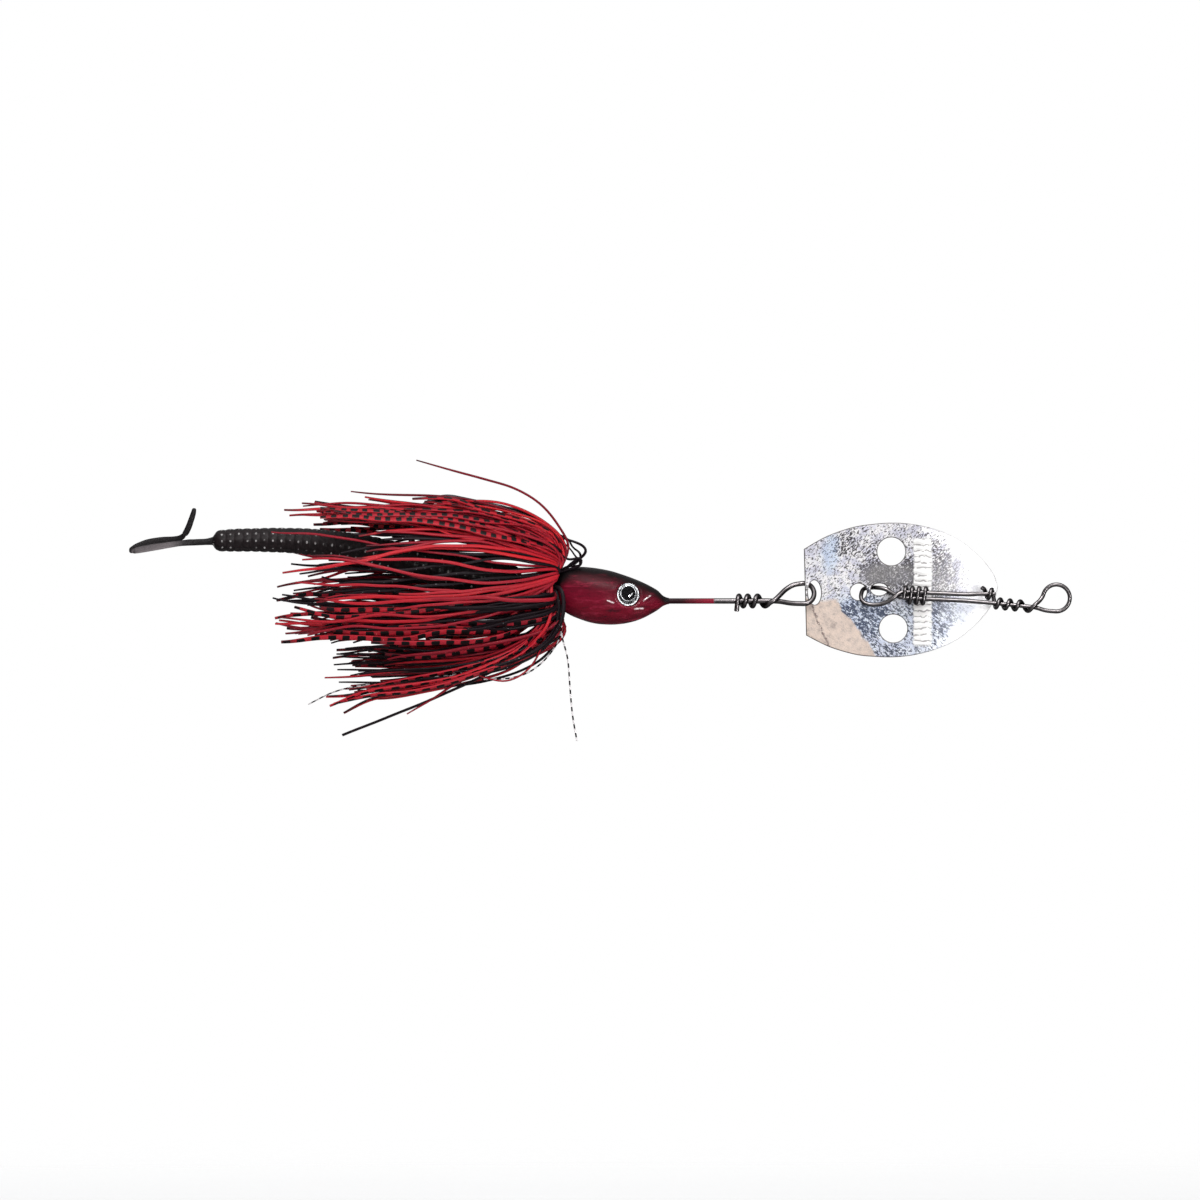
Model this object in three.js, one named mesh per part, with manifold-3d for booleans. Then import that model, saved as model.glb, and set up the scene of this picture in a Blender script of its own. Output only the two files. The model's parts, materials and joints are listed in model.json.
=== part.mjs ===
// Bladed spinnerbait: a lead fish head on a cast-in hook and nose wire, a stamped vibrating
// blade hung in the nose wire's twisted eye, a twisted tow link from the blade to the line,
// a silicone skirt held by a rubber band, and a ribbed-on soft worm trailer on the hook.
//
// Millimetres. +X points forward to the line, +Z is the fish's back, +Y is its left side.
// Origin: the seat for the line, on the inside of the line tie's front. The pieces are laid
// out from the nose of the head, on the axis of the nose wire, and the last lines move them.
import * as THREE from "three";
import { mergeVertices } from "three/addons/utils/BufferGeometryUtils.js";
import Module from "manifold-3d";

const wasm = await Module();
wasm.setup();
const DEG = Math.PI / 180;

// ---------------------------------------------------------------- shared dimensions
const SHANK_SLOPE = 0.167; // rise of the hook shank and skirt collar per mm towards the rear
const CAST_GAP = 0.12; // clearance round a wire inside the head or the worm
const WRAP_GAP = 0.06; // clearance between a wire and the turns wrapped on it
const TURN_STEPS = 9; // segments in one turn of a wrap

// ---------------------------------------------------------------- materials
const paintRed = new THREE.MeshStandardMaterial({ color: 0x7a1020, roughness: 0.22, metalness: 0.1 });
const steel = new THREE.MeshStandardMaterial({ color: 0x77777a, roughness: 0.25, metalness: 1 });
const bladeSteel = new THREE.MeshStandardMaterial({ color: 0xd8d8dc, roughness: 0.12, metalness: 1 });
const blackNickel = new THREE.MeshStandardMaterial({ color: 0x24242a, roughness: 0.2, metalness: 1 });
const foil = new THREE.MeshStandardMaterial({ color: 0xc4c6c8, roughness: 0.2, metalness: 0.9 });
const lens = new THREE.MeshStandardMaterial({ color: 0xf4f6f8, roughness: 0.05, metalness: 0 });
const rubber = new THREE.MeshStandardMaterial({ color: 0x151515, roughness: 0.6, metalness: 0 });
const silicone = {
  red: new THREE.MeshStandardMaterial({ color: 0xc01a1c, roughness: 0.45, metalness: 0 }),
  barred: new THREE.MeshStandardMaterial({ color: 0x8c1218, roughness: 0.5, metalness: 0 }),
  black: new THREE.MeshStandardMaterial({ color: 0x171719, roughness: 0.5, metalness: 0 }),
};
const tinsel = new THREE.MeshStandardMaterial({ color: 0x55555a, roughness: 0.2, metalness: 0.8 });
const softPlastic = new THREE.MeshStandardMaterial({ color: 0x1b1b1d, roughness: 0.4, metalness: 0 });

// ---------------------------------------------------------------- points and curves
const point = (x, y, z) => new THREE.Vector3(x, y, z);
const point2 = (x, y) => new THREE.Vector2(x, y);
const toPoints = (rows) => rows.map((row) => point(...row));

// A path for ExtrudeGeometry that puts one section exactly at each given point.
class VertexPath extends THREE.Curve {
  constructor(points) {
    super();
    this.points = points;
  }
  getSpacedPoints() {
    return this.points.map((p) => p.clone());
  }
  getTangentAt(u, target = new THREE.Vector3()) {
    const last = this.points.length - 1;
    const i = Math.round(u * last);
    const before = this.points[Math.max(0, i - 1)];
    const after = this.points[Math.min(last, i + 1)];
    return target.copy(after).sub(before).normalize();
  }
}

// Joins runs of points, dropping any that repeat.
function join(...runs) {
  const joined = [];
  for (const p of runs.flat()) {
    if (!joined.length || joined.at(-1).distanceTo(p) > 1e-3) joined.push(p);
  }
  return joined;
}

// A smooth run through control points, one vertex about every step mm.
function smooth(points, step) {
  const curve = new THREE.CatmullRomCurve3(points, false, "centripetal");
  return curve.getSpacedPoints(Math.max(2, Math.round(curve.getLength() / step)));
}

// Points at even angles, in degrees; place(cos, sin) makes each one.
function sweep(from, to, steps, place) {
  return Array.from({ length: steps + 1 }, (_, i) => {
    const angle = (from + ((to - from) * i) / steps) * DEG;
    return place(Math.cos(angle), Math.sin(angle));
  });
}

// A helix round the X direction. axisAt(x) gives its centre [y, z], xAt(angle) its advance.
// Angle 0 is the right-hand side (-Y), 90 is below, 180 the left side, 270 above.
function helix(axisAt, radius, from, to, xAt) {
  const steps = Math.max(2, Math.ceil((Math.abs(to - from) / 360) * TURN_STEPS));
  return Array.from({ length: steps + 1 }, (_, i) => {
    const angle = from + ((to - from) * i) / steps;
    const x = xAt(angle);
    const [y, z] = axisAt(x);
    return point(x, y - radius * Math.cos(angle * DEG), z - radius * Math.sin(angle * DEG));
  });
}

// Straight-line interpolation through [key, value] pairs, held level past both ends.
function table(rows) {
  return (key) => {
    if (key <= rows[0][0]) return rows[0][1];
    for (let i = 1; i < rows.length; i++) {
      if (key <= rows[i][0]) {
        const [keyA, valueA] = rows[i - 1];
        const [keyB, valueB] = rows[i];
        return valueA + ((valueB - valueA) * (key - keyA)) / (keyB - keyA);
      }
    }
    return rows.at(-1)[1];
  };
}

function closed(points, Kind = THREE.Shape) {
  const path = new Kind(points);
  path.closePath();
  return path;
}

// ---------------------------------------------------------------- solids and meshes
function solid(source) {
  source.deleteAttribute("normal");
  source.deleteAttribute("uv");
  const welded = mergeVertices(source, 1e-4);
  const vertProperties = new Float32Array(welded.attributes.position.array);
  const triVerts = new Uint32Array(welded.index.array);
  const make = () => new wasm.Manifold(new wasm.Mesh({ numProp: 3, vertProperties, triVerts }));
  const made = make();
  if (made.volume() > 0) return made;
  // inside out: turn every triangle over
  for (let i = 0; i < triVerts.length; i += 3) {
    [triVerts[i + 1], triVerts[i + 2]] = [triVerts[i + 2], triVerts[i + 1]];
  }
  return make();
}

function piece(name, shape, material, { at = [0, 0, 0], turn = [0, 0, 0] } = {}) {
  const { vertProperties, triVerts } = shape.getMesh();
  const geometry = new THREE.BufferGeometry();
  geometry.setAttribute("position", new THREE.BufferAttribute(new Float32Array(vertProperties), 3));
  geometry.setIndex(new THREE.BufferAttribute(new Uint32Array(triVerts), 1));
  geometry.computeVertexNormals();
  const mesh = new THREE.Mesh(geometry, material);
  mesh.name = name;
  mesh.position.set(...at);
  mesh.rotation.set(...turn);
  return mesh;
}

function wireGeometry(points, radius, sides) {
  const section = Array.from({ length: sides }, (_, i) => {
    const angle = ((i + 0.5) / sides) * 2 * Math.PI;
    return point2(radius * Math.cos(angle), radius * Math.sin(angle));
  });
  return new THREE.ExtrudeGeometry(closed(section), {
    steps: points.length - 1,
    extrudePath: new VertexPath(points),
    bevelEnabled: false,
  });
}

// A round wire along points.
function wire(points, radius, sides = 8) {
  return solid(wireGeometry(points, radius, sides));
}

// A wire whose radius is multiplied by scaleAt(i) at its point number i.
function taperedWire(points, radius, scaleAt, sides = 8) {
  const source = wireGeometry(points, radius, sides);
  const position = source.attributes.position;
  const v = point(0, 0, 0);
  for (let i = 0; i < position.count; i++) {
    v.fromBufferAttribute(position, i);
    let nearest = 0;
    for (let k = 1; k < points.length; k++) {
      if (v.distanceToSquared(points[k]) < v.distanceToSquared(points[nearest])) nearest = k;
    }
    v.sub(points[nearest]).multiplyScalar(scaleAt(nearest)).add(points[nearest]);
    position.setXYZ(i, v.x, v.y, v.z);
  }
  return solid(source);
}

function ball(radius, centre, segments = 18) {
  const sphere = new THREE.SphereGeometry(radius, segments, Math.round(segments / 2));
  sphere.translate(...centre);
  return solid(sphere);
}

const parts = new THREE.Group();

// ---------------------------------------------------------------- hook
const HOOK_R = 0.65; // 1.3 mm wire
const HOOK_EYE_X = -10.45; // centre of the ring inside the head
const HOOK_EYE_R = 1.55; // its centre line
const HOOK_EYE_ENDS = [38, 334]; // degrees from the shank: the ring's open end, its shank end
const HOOK_EYE_NECK = 1.3; // from the ring to the start of the straight shank
const HOOK_BEND_R = 7.3; // centre line
const HOOK_BEND_ANGLE = 184;
const HOOK_BEND_START = point(-44.5, 0, 6.18);
const SHANK_STOP = 2; // last vertex of the shank, ahead of the bend
const HOOK_POINT = 14.2; // length of the point leg
const POINT_STEPS = [0.25, 0.5, 0.72, 0.88, 1]; // vertices along it, as shares of its length
const POINT_TAPER = [0.12, 0.55, 0.9]; // radius scales, from the tip back
const BARB = { length: 3.0, heelX: 0.2, height: 0.62, width: 0.5, place: 0.66, sink: 0.55 };

const shankDir = point(-1, 0, SHANK_SLOPE).normalize(); // towards the bend
const shankUp = point(shankDir.z, 0, -shankDir.x); // square to the shank, towards the point
const shankZ = (x) => HOOK_BEND_START.z - (x - HOOK_BEND_START.x) * SHANK_SLOPE;

const hookRingCentre = point(HOOK_EYE_X, 0, shankZ(HOOK_EYE_X));
const shankAngle = Math.atan2(shankDir.z, shankDir.x) / DEG;
const hookRing = sweep(
  shankAngle + HOOK_EYE_ENDS[0],
  shankAngle + HOOK_EYE_ENDS[1],
  12,
  (cos, sin) =>
    point(hookRingCentre.x + HOOK_EYE_R * cos, 0, hookRingCentre.z + HOOK_EYE_R * sin),
);
const shankFront = hookRingCentre.clone().addScaledVector(shankDir, HOOK_EYE_R + HOOK_EYE_NECK);
const shankRear = HOOK_BEND_START.clone().addScaledVector(shankDir, -SHANK_STOP);
const bendCentre = HOOK_BEND_START.clone().addScaledVector(shankUp, HOOK_BEND_R);
const hookBend = sweep(0, HOOK_BEND_ANGLE, 16, (cos, sin) =>
  bendCentre
    .clone()
    .addScaledVector(shankUp, -HOOK_BEND_R * cos)
    .addScaledVector(shankDir, HOOK_BEND_R * sin),
);
const bendEnd = hookBend.at(-1);
const pointDir = bendEnd.clone().sub(hookBend.at(-2)).normalize();
const hookPoint = POINT_STEPS.map((share) =>
  bendEnd.clone().addScaledVector(pointDir, HOOK_POINT * share),
);
const hookFront = [...hookRing, shankFront, shankRear];
const hookRear = [shankRear, ...hookBend, ...hookPoint];

// A small wedge standing off the inside of the point.
function buildBarb() {
  const wedge = closed([point2(0, 0), point2(BARB.length, 0), point2(BARB.heelX, BARB.height)]);
  const barb = new THREE.ExtrudeGeometry(wedge, { depth: BARB.width, bevelEnabled: false, steps: 1 });
  barb.translate(0, 0, -BARB.width / 2);
  // shape x runs along the point, shape y towards the shank
  const inward = shankUp.clone().negate();
  inward.addScaledVector(pointDir, -inward.dot(pointDir)).normalize();
  const frame = new THREE.Matrix4().makeBasis(pointDir, inward, pointDir.clone().cross(inward));
  frame.setPosition(
    bendEnd
      .clone()
      .addScaledVector(pointDir, HOOK_POINT * BARB.place)
      .addScaledVector(inward, HOOK_R * BARB.sink),
  );
  barb.applyMatrix4(frame);
  return solid(barb);
}

function buildHook() {
  const path = join(hookFront, hookRear);
  const taper = (i) => POINT_TAPER[path.length - 1 - i] ?? 1;
  return piece("hook", taperedWire(path, HOOK_R, taper).add(buildBarb()), blackNickel);
}
parts.add(buildHook());

// ---------------------------------------------------------------- nose wire
const NOSE_WIRE_R = 0.5; // 1.0 mm stainless
// the twisted eye: an oval whose plane leans to the left; x and z of its round end's centre
const NOSE_EYE = { tilt: 35, x: 27.98, z: 1.5, rx: 2.05, ru: 2.5 };
// [x, y, z] of the U cast into the head
const ANCHOR = [
  [-8.5, -1.32, 0.5], [-9.5, -1.28, 0.55], [-10.35, -0.8, 0.5], [-10.6, 0, 0.5],
  [-10.35, 0.8, 0.5], [-9.5, 1.28, 0.5], [-8.3, 1.26, 0.4], [-6.6, 0.6, 0.12], [-5, 0, 0],
];
const NOSE_STEM = [[1, 0, 0], [14, 0, 0]]; // [x, y, z] of the straight out of the nose
const STEM_END = [20.6, 0, 0];
// [x, y, z] out to the eye's lower side, and back from its upper side to the wrap
const TO_EYE = [[21.6, 0, 0], [23.2, -0.35, -0.1], [25.4, -1.12, -0.45]];
const FROM_EYE = [
  [25.9, 1.25, 3.2], [24.3, 0.65, 2.25], [23.1, -0.35, 1.1], [22.0, -1.0, 0.1],
];
// [degrees, x] of the wrap round the stem
const NOSE_WRAP = [
  [20, 21.1], [90, 20.2], [270, 18.7], [450, 17.7],
  [630, 16.75], [810, 15.85], [990, 15.0], [1080, 14.7],
];
const NOSE_WRAP_ENDS = [20, 1075]; // degrees
const noseWrapR = NOSE_WIRE_R * 2 + WRAP_GAP;
const NOSE_WRAP_TAIL = [[14.6, -noseWrapR, -1.0], [14.5, -noseWrapR, -2.0]];

const noseAnchor = smooth(toPoints(ANCHOR), 0.62);
const noseStem = toPoints(NOSE_STEM);

function buildNoseWire() {
  const tilt = NOSE_EYE.tilt * DEG;
  const round = sweep(-90, 90, 10, (cos, sin) => {
    const up = NOSE_EYE.ru * sin; // in the eye's own plane
    return point(
      NOSE_EYE.x + NOSE_EYE.rx * cos,
      up * Math.sin(tilt),
      NOSE_EYE.z + up * Math.cos(tilt),
    );
  });
  const wrap = helix(() => [0, 0], noseWrapR, ...NOSE_WRAP_ENDS, table(NOSE_WRAP));
  const path = join(
    noseAnchor,
    noseStem,
    [point(...STEM_END)],
    smooth([...toPoints(TO_EYE), round[0]], 0.9),
    round,
    smooth([round.at(-1), ...toPoints(FROM_EYE), wrap[0]], 0.8),
    wrap,
    toPoints(NOSE_WRAP_TAIL),
  );
  return piece("nose_wire", wire(path, NOSE_WIRE_R), steel);
}
parts.add(buildNoseWire());

// ---------------------------------------------------------------- head casting and eyes
// [x, top z, bottom z, half width] from the nose to the rear shoulder
const HEAD = [
  [0.9, 0.7, -0.7, 0.7],
  [0.2, 0.86, -0.86, 0.84],
  [-0.4, 1.25, -1.15, 1.15],
  [-1.1, 1.98, -1.7, 1.6],
  [-2.4, 2.8, -2.5, 2.25],
  [-4.4, 3.8, -3.52, 3.0],
  [-6.4, 4.62, -4.2, 3.55],
  [-8.5, 5.36, -4.6, 3.98],
  [-10.5, 5.98, -4.74, 4.26],
  [-12.6, 6.42, -4.66, 4.4],
  [-14.6, 6.7, -4.34, 4.38],
  [-16.6, 6.84, -3.72, 4.18],
  [-18.7, 6.66, -2.86, 3.75],
  [-20.3, 6.02, -1.8, 3.15],
  [-21.2, 5.1, -0.6, 2.5],
  [-21.6, 4.3, 0.4, 1.95],
];
const HEAD_SIDES = 24;
const NECK_X = HEAD.at(-1)[0];
const NECK_Z = 2.35; // height of the collar's axis where it leaves the head
// [x, radius] of the skirt collar, with the barb that keeps the band on
const COLLAR = [[-22.2, 1.9], [-25.3, 1.9], [-25.7, 2.6], [-26.1, 2.6], [-27.4, 1.55]];
const collarZ = (x) => NECK_Z + (NECK_X - x) * SHANK_SLOPE;

const EYE_CENTRE = { x: -7.1, y: 3.62, z: 1.3 }; // on the head's left cheek
const EYE_YAW = 12.5; // the cheek turns towards the nose
const EYE_R = 2.3;
const SOCKET_R = 2.42;
const SOCKET_DEPTH = 0.55;
const SOCKET_CUT = 3; // length of the cutting cylinder
const FOIL_T = 0.12;
const LENS_H = 0.95;
const LENS_RIM = { height: 0.14, inset: 0.02 };
const EYE_GAP = 0.06; // under the foil, and again under the lens

// Each eye's holder sits on the cheek; its inner group's +Y is the cheek's outward normal.
const eyes = [["right", -1], ["left", 1]].map(([tag, side]) => {
  const holder = new THREE.Group();
  holder.position.set(EYE_CENTRE.x, side * EYE_CENTRE.y, EYE_CENTRE.z);
  holder.rotation.set(side > 0 ? 0 : Math.PI, 0, 0);
  const cheek = new THREE.Group();
  cheek.rotation.z = -EYE_YAW * DEG;
  holder.add(cheek);
  holder.updateMatrixWorld(true);
  return { tag, holder, cheek };
});

// A turned blank whose rings are stretched to the head's stations.
function headBlank() {
  const stations = [
    ...HEAD.map(([x, top, bottom, halfWidth]) => ({
      x,
      z: (top + bottom) / 2,
      halfHeight: (top - bottom) / 2,
      halfWidth,
    })),
    ...COLLAR.map(([x, r]) => ({ x, z: collarZ(x), halfHeight: r, halfWidth: r })),
  ];
  const profile = [
    point2(0, 0),
    ...stations.map((_, i) => point2(1, i)),
    point2(0, stations.length - 1),
  ];
  const blank = new THREE.LatheGeometry(profile, HEAD_SIDES);
  const position = blank.attributes.position;
  for (let i = 0; i < position.count; i++) {
    const { x, z, halfHeight, halfWidth } = stations[Math.round(position.getY(i))];
    position.setXYZ(i, x, halfWidth * position.getX(i), z + halfHeight * position.getZ(i));
  }
  return solid(blank);
}

function buildHead() {
  let head = headBlank()
    .subtract(wire([...noseAnchor, ...noseStem], NOSE_WIRE_R + CAST_GAP))
    .subtract(wire(hookFront, HOOK_R + CAST_GAP));
  for (const { cheek } of eyes) {
    const cutter = new THREE.CylinderGeometry(SOCKET_R, SOCKET_R, SOCKET_CUT, 28);
    cutter.translate(0, SOCKET_CUT / 2 - SOCKET_DEPTH, 0);
    cutter.applyMatrix4(cheek.matrixWorld);
    head = head.subtract(solid(cutter));
  }
  return piece("head_casting", head, paintRed);
}
parts.add(buildHead());

function buildFoil(tag) {
  const profile = [point2(0, 0), point2(EYE_R, 0), point2(EYE_R, FOIL_T), point2(0, FOIL_T)];
  const disc = solid(new THREE.LatheGeometry(profile, 28));
  return piece(`eye_foil_${tag}`, disc, foil, { at: [0, EYE_GAP - SOCKET_DEPTH, 0] });
}

function buildLens(tag) {
  const { height, inset } = LENS_RIM;
  const profile = [point2(0, 0), point2(EYE_R - inset, 0), point2(EYE_R, height)];
  const steps = 5;
  for (let i = 1; i <= steps; i++) {
    const angle = (i / steps) * 90 * DEG;
    const r = i === steps ? 0 : EYE_R * Math.cos(angle); // exactly on the axis at the top
    profile.push(point2(r, height + (LENS_H - height) * Math.sin(angle)));
  }
  const dome = solid(new THREE.LatheGeometry(profile, 24));
  const seat = 2 * EYE_GAP + FOIL_T - SOCKET_DEPTH;
  return piece(`eye_lens_${tag}`, dome, lens, { at: [0, seat, 0] });
}

for (const { tag, holder, cheek } of eyes) {
  cheek.add(buildFoil(tag), buildLens(tag));
  parts.add(holder);
}

// ---------------------------------------------------------------- skirt band
const BAND = { x: -24, width: 2.2, inner: 2.2, outer: 3.25 };
const BAND_CHAMFER = { radial: 0.3, axial: 0.35 };

function buildBand() {
  const half = BAND.width / 2;
  const flatR = BAND.outer - BAND_CHAMFER.radial;
  const flatHalf = half - BAND_CHAMFER.axial;
  const profile = [
    point2(BAND.inner, -half),
    point2(flatR, -half),
    point2(BAND.outer, -flatHalf),
    point2(BAND.outer, flatHalf),
    point2(flatR, half),
    point2(BAND.inner, half),
    point2(BAND.inner, -half),
  ];
  const ring = new THREE.LatheGeometry(profile, 20);
  ring.rotateZ(Math.PI / 2);
  return piece("skirt_band", solid(ring), rubber, {
    at: [BAND.x, 0, collarZ(BAND.x)],
    turn: [0, Math.atan(SHANK_SLOPE), 0],
  });
}
parts.add(buildBand());

// ---------------------------------------------------------------- skirt strands
const TUFTS = 12;
const FIRST_TUFT = 15; // degrees; 0 is the left side, 90 the top
const STRAND_R = 0.42;
const STRAND_SIDES = 6;
const SKIRT_Z = 2.75; // height of the skirt's axis
// [radius, skirt width over its height]: round at the collar, narrower further out
const SKIRT_WIDTH = [[3.2, 1], [8, 0.75]];
const UP_SHIFT = 0.6; // share of a layer's shift kept by the tufts beside the top
const TIP_SPREAD = 0.8; // share of the last segment's rise that is kept
const CUT_STEP = 0.05; // each step of cut takes this share off the last segment

// strand profiles, [x, radius from the skirt's axis] from the root to the tip
const OUTER = [
  [-22.2, 3.05], [-21.7, 4.5], [-20.5, 6.6], [-19.6, 8.6], [-20.4, 10.4], [-23.2, 12.4],
  [-27.5, 14.6], [-34, 17.0], [-44, 18.8], [-56, 19.8], [-70, 20.4],
];
const MIDDLE = [
  [-25.75, 3.75], [-26.3, 5.0], [-27.6, 7.0], [-30.5, 9.4],
  [-36, 11.8], [-46, 13.6], [-58, 14.4], [-71, 14.8],
];
const INNER = [
  [-26.5, 3.1], [-27.0, 4.0], [-28.4, 5.4], [-31, 6.6],
  [-36, 7.8], [-44, 8.9], [-58, 9.6], [-73, 9.9],
];
const STRAY_TOP = [
  [-22.2, 3.0], [-21.7, 4.5], [-20.5, 6.6], [-19.4, 9.0], [-20.2, 12.0],
  [-23.6, 16.0], [-29, 19.8], [-38, 22.9], [-49.7, 25.45],
];
const STRAY_LOW = [
  [-22.2, 3.0], [-21.7, 4.5], [-20.5, 6.6], [-19.4, 9.0], [-20.6, 12.4],
  [-25.5, 17.4], [-33, 21.6], [-43, 25.6], [-54, 29.8], [-64.2, 34.0],
];
const TINSEL = [
  [-22.2, 3.0], [-21.7, 4.5], [-20.6, 6.6], [-20.0, 9.4],
  [-19.6, 14], [-19, 20], [-18.2, 26], [-17.4, 30.5],
];
// shift: degrees round the skirt from the tuft; step: vertex spacing
const LAYERS = [
  { tag: "outer", profile: OUTER, shift: 0, step: 4.6 },
  { tag: "middle", profile: MIDDLE, shift: 7, step: 5.2 },
  { tag: "inner", profile: INNER, shift: -7, step: 5.2 },
];
// silicone of each layer, in even and odd tufts
const TUFT_COLOURS = [["red", "barred", "black"], ["barred", "black", "red"]];
// three strands that stand clear of the rest, rooted between their neighbours
const STRAYS = [
  {
    name: "strand_red_stray_top", profile: STRAY_TOP,
    angle: 90, radius: 0.28, material: silicone.red,
  },
  {
    name: "strand_black_stray_low", profile: STRAY_LOW,
    angle: 240, radius: 0.3, material: silicone.black,
  },
  { name: "tinsel_strand", profile: TINSEL, angle: 270, radius: 0.26, material: tinsel },
];
const STRAY_STEP = 4.4;

// A strand keeps its own angle round the skirt's axis, so no two cross.
function buildStrand({ name, profile, angle, radius, step, material }) {
  const cos = Math.cos(angle * DEG);
  const sin = Math.sin(angle * DEG);
  const widthAt = table(SKIRT_WIDTH);
  const path = profile.map(([x, r]) => point(x, r * cos * widthAt(r), SKIRT_Z + r * sin));
  return piece(name, wire(smooth(path, step), radius, STRAND_SIDES), material);
}

// Tips differ a little from tuft to tuft, as they are cut by hand.
function trimTip(profile, tuft) {
  const [x, r] = profile.at(-2);
  const [endX, endR] = profile.at(-1);
  const kept = 1 - CUT_STEP * ((tuft * 7) % 5);
  return [...profile.slice(0, -1), [x + (endX - x) * kept, r + (endR - r) * TIP_SPREAD]];
}

for (let tuft = 0; tuft < TUFTS; tuft++) {
  const angle = FIRST_TUFT + (360 / TUFTS) * tuft;
  const besideTop = Math.sin(angle * DEG) > 0.9;
  LAYERS.forEach(({ tag, profile, shift, step }, k) => {
    if (besideTop && tag === "inner") return; // the worm and the hook's bend fill that place
    // beside the top, strands shift away from it
    const away = (angle < 90 ? -1 : 1) * Math.abs(shift) * UP_SHIFT;
    const colour = TUFT_COLOURS[tuft % 2][k];
    parts.add(
      buildStrand({
        name: `strand_${colour}_${tag}_${String(tuft + 1).padStart(2, "0")}`,
        profile: trimTip(profile, tuft),
        angle: angle + (besideTop ? away : shift),
        radius: STRAND_R,
        step,
        material: silicone[colour],
      }),
    );
  });
}
for (const stray of STRAYS) parts.add(buildStrand({ ...stray, step: STRAY_STEP }));

// ---------------------------------------------------------------- worm trailer
// [x, z, radius] along the worm; both halves meet at the joint
const WORM_JOINT = [-53, 8.45, 3.3];
const WORM_FRONT = [
  [-28.2, 3.4, 2.9], [-29.4, 3.6, 3.45], [-33, 4.2, 3.55], [-38, 5.05, 3.5],
  [-44, 6.2, 3.45], [-49, 7.4, 3.4], WORM_JOINT,
];
const WORM_REAR = [
  WORM_JOINT, [-58, 9.75, 3.2], [-63, 10.8, 3.05], [-69, 11.65, 2.85], [-75, 12.15, 2.6],
  [-81, 12.35, 2.42], [-87, 12.3, 2.3], [-89.4, 12.2, 2.0], [-90.2, 12.15, 1.2],
];
const JOINT_BALL_R = 3.1;
const JOINT_GAP = 0.3;
const CHANNEL_START_X = -27; // the hook's channel opens ahead of the worm
// [x, y, z] of the tail: a thin stem, a broad curl and an upturned tip
const TAIL = [
  [-91.2, 0, 12.1], [-93.6, 0, 11.6], [-96.5, -0.8, 11.2], [-100.5, -1.6, 11.2],
  [-104.4, -1.4, 10.9], [-106.4, 0.6, 10.7], [-104.2, 2.4, 11.3], [-100, 2.7, 12.0],
  [-96.6, 2.0, 12.9], [-95.3, 1.2, 15.0], [-94.1, 0.8, 18.0],
];
const TAIL_R = 0.95;
const TAIL_BALL_R = 0.72; // at the tail's root
// [share of the tail's length, radius scale]
const TAIL_GIRTH = [
  [0, 0.62], [0.12, 0.62], [0.28, 0.95], [0.5, 1.0], [0.72, 0.85], [0.85, 0.55], [1, 0.4],
];

function wormHalf(rows) {
  const line = smooth(rows.map(([x, z]) => point(x, 0, z)), 2.1);
  const radiusAt = table(rows.map(([x, , radius]) => [-x, radius]));
  return taperedWire(line, 1, (i) => radiusAt(-line[i].x), 16);
}

const jointCentre = [WORM_JOINT[0], 0, WORM_JOINT[1]];

function buildWormFront() {
  const channel = [point(CHANNEL_START_X, 0, shankZ(CHANNEL_START_X)), ...hookRear];
  const body = wormHalf(WORM_FRONT)
    .add(ball(JOINT_BALL_R, jointCentre))
    .subtract(wire(channel, HOOK_R + CAST_GAP));
  return piece("worm_body", body, softPlastic);
}

function buildWormRear() {
  const body = wormHalf(WORM_REAR).subtract(ball(JOINT_BALL_R + JOINT_GAP, jointCentre));
  return piece("worm_rear", body, softPlastic);
}

function buildWormTail() {
  const line = smooth(toPoints(TAIL), 1.25);
  const girthAt = table(TAIL_GIRTH);
  const tail = taperedWire(line, TAIL_R, (i) => girthAt(i / (line.length - 1)));
  return piece("worm_tail", tail.add(ball(TAIL_BALL_R, TAIL[0], 12)), softPlastic);
}
parts.add(buildWormFront(), buildWormRear(), buildWormTail());

// ---------------------------------------------------------------- blade
const BLADE_T = 0.8;
const BLADE_AT = [28.2, 0, 1.75]; // middle of its rear edge
const BLADE_TILT = 1.5; // degrees nose up, in its own plane
// [x, half height] of the rim, from the rear edge
const BLADE = [
  [0, 8.65], [2.5, 10.05], [5, 11.25], [10, 12.8], [14, 13.3], [17.5, 13.45], [21, 13.2],
  [25, 12.35], [29, 10.9], [32, 9.1], [34.8, 6.7], [37, 4.2], [38.3, 2.0],
];
const BLADE_TIP = 38.8;
const BLADE_CREASE = 24.2;
const BLADE_LIP = 9; // degrees; the part ahead of the crease turns to the left
// holes, by centre and half axes, in the blade's own x and z
const PORT = { x: 17.46, z: 7.71, rx: 2.8, rz: 2.8 }; // the two large water holes, up and down
const BLADE_HOLES = [
  PORT,
  { ...PORT, z: -PORT.z },
  { x: 2.22, z: -0.25, rx: 1.56, rz: 2.3 }, // rear slot, for the nose wire's eye
  { x: 10.7, z: -0.2, rx: 1.65, rz: 1.65 }, // for the tow link
  { x: 14.86, z: 0.18, rx: 1.7, rz: 1.2 }, // for the tow link
];
const HOLE_SIDES = 18;

function ellipseHole({ x, z, rx, rz }) {
  const rim = sweep(0, 360, HOLE_SIDES, (cos, sin) => point2(x + rx * cos, z + rz * sin));
  return closed(rim.slice(0, -1), THREE.Path);
}

// A sheet in the XZ plane, half its thickness on either side.
function sheet(shape) {
  const flat = new THREE.ExtrudeGeometry(shape, { depth: BLADE_T, bevelEnabled: false, steps: 1 });
  flat.rotateX(Math.PI / 2);
  flat.translate(0, BLADE_T / 2, 0);
  return flat;
}

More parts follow.
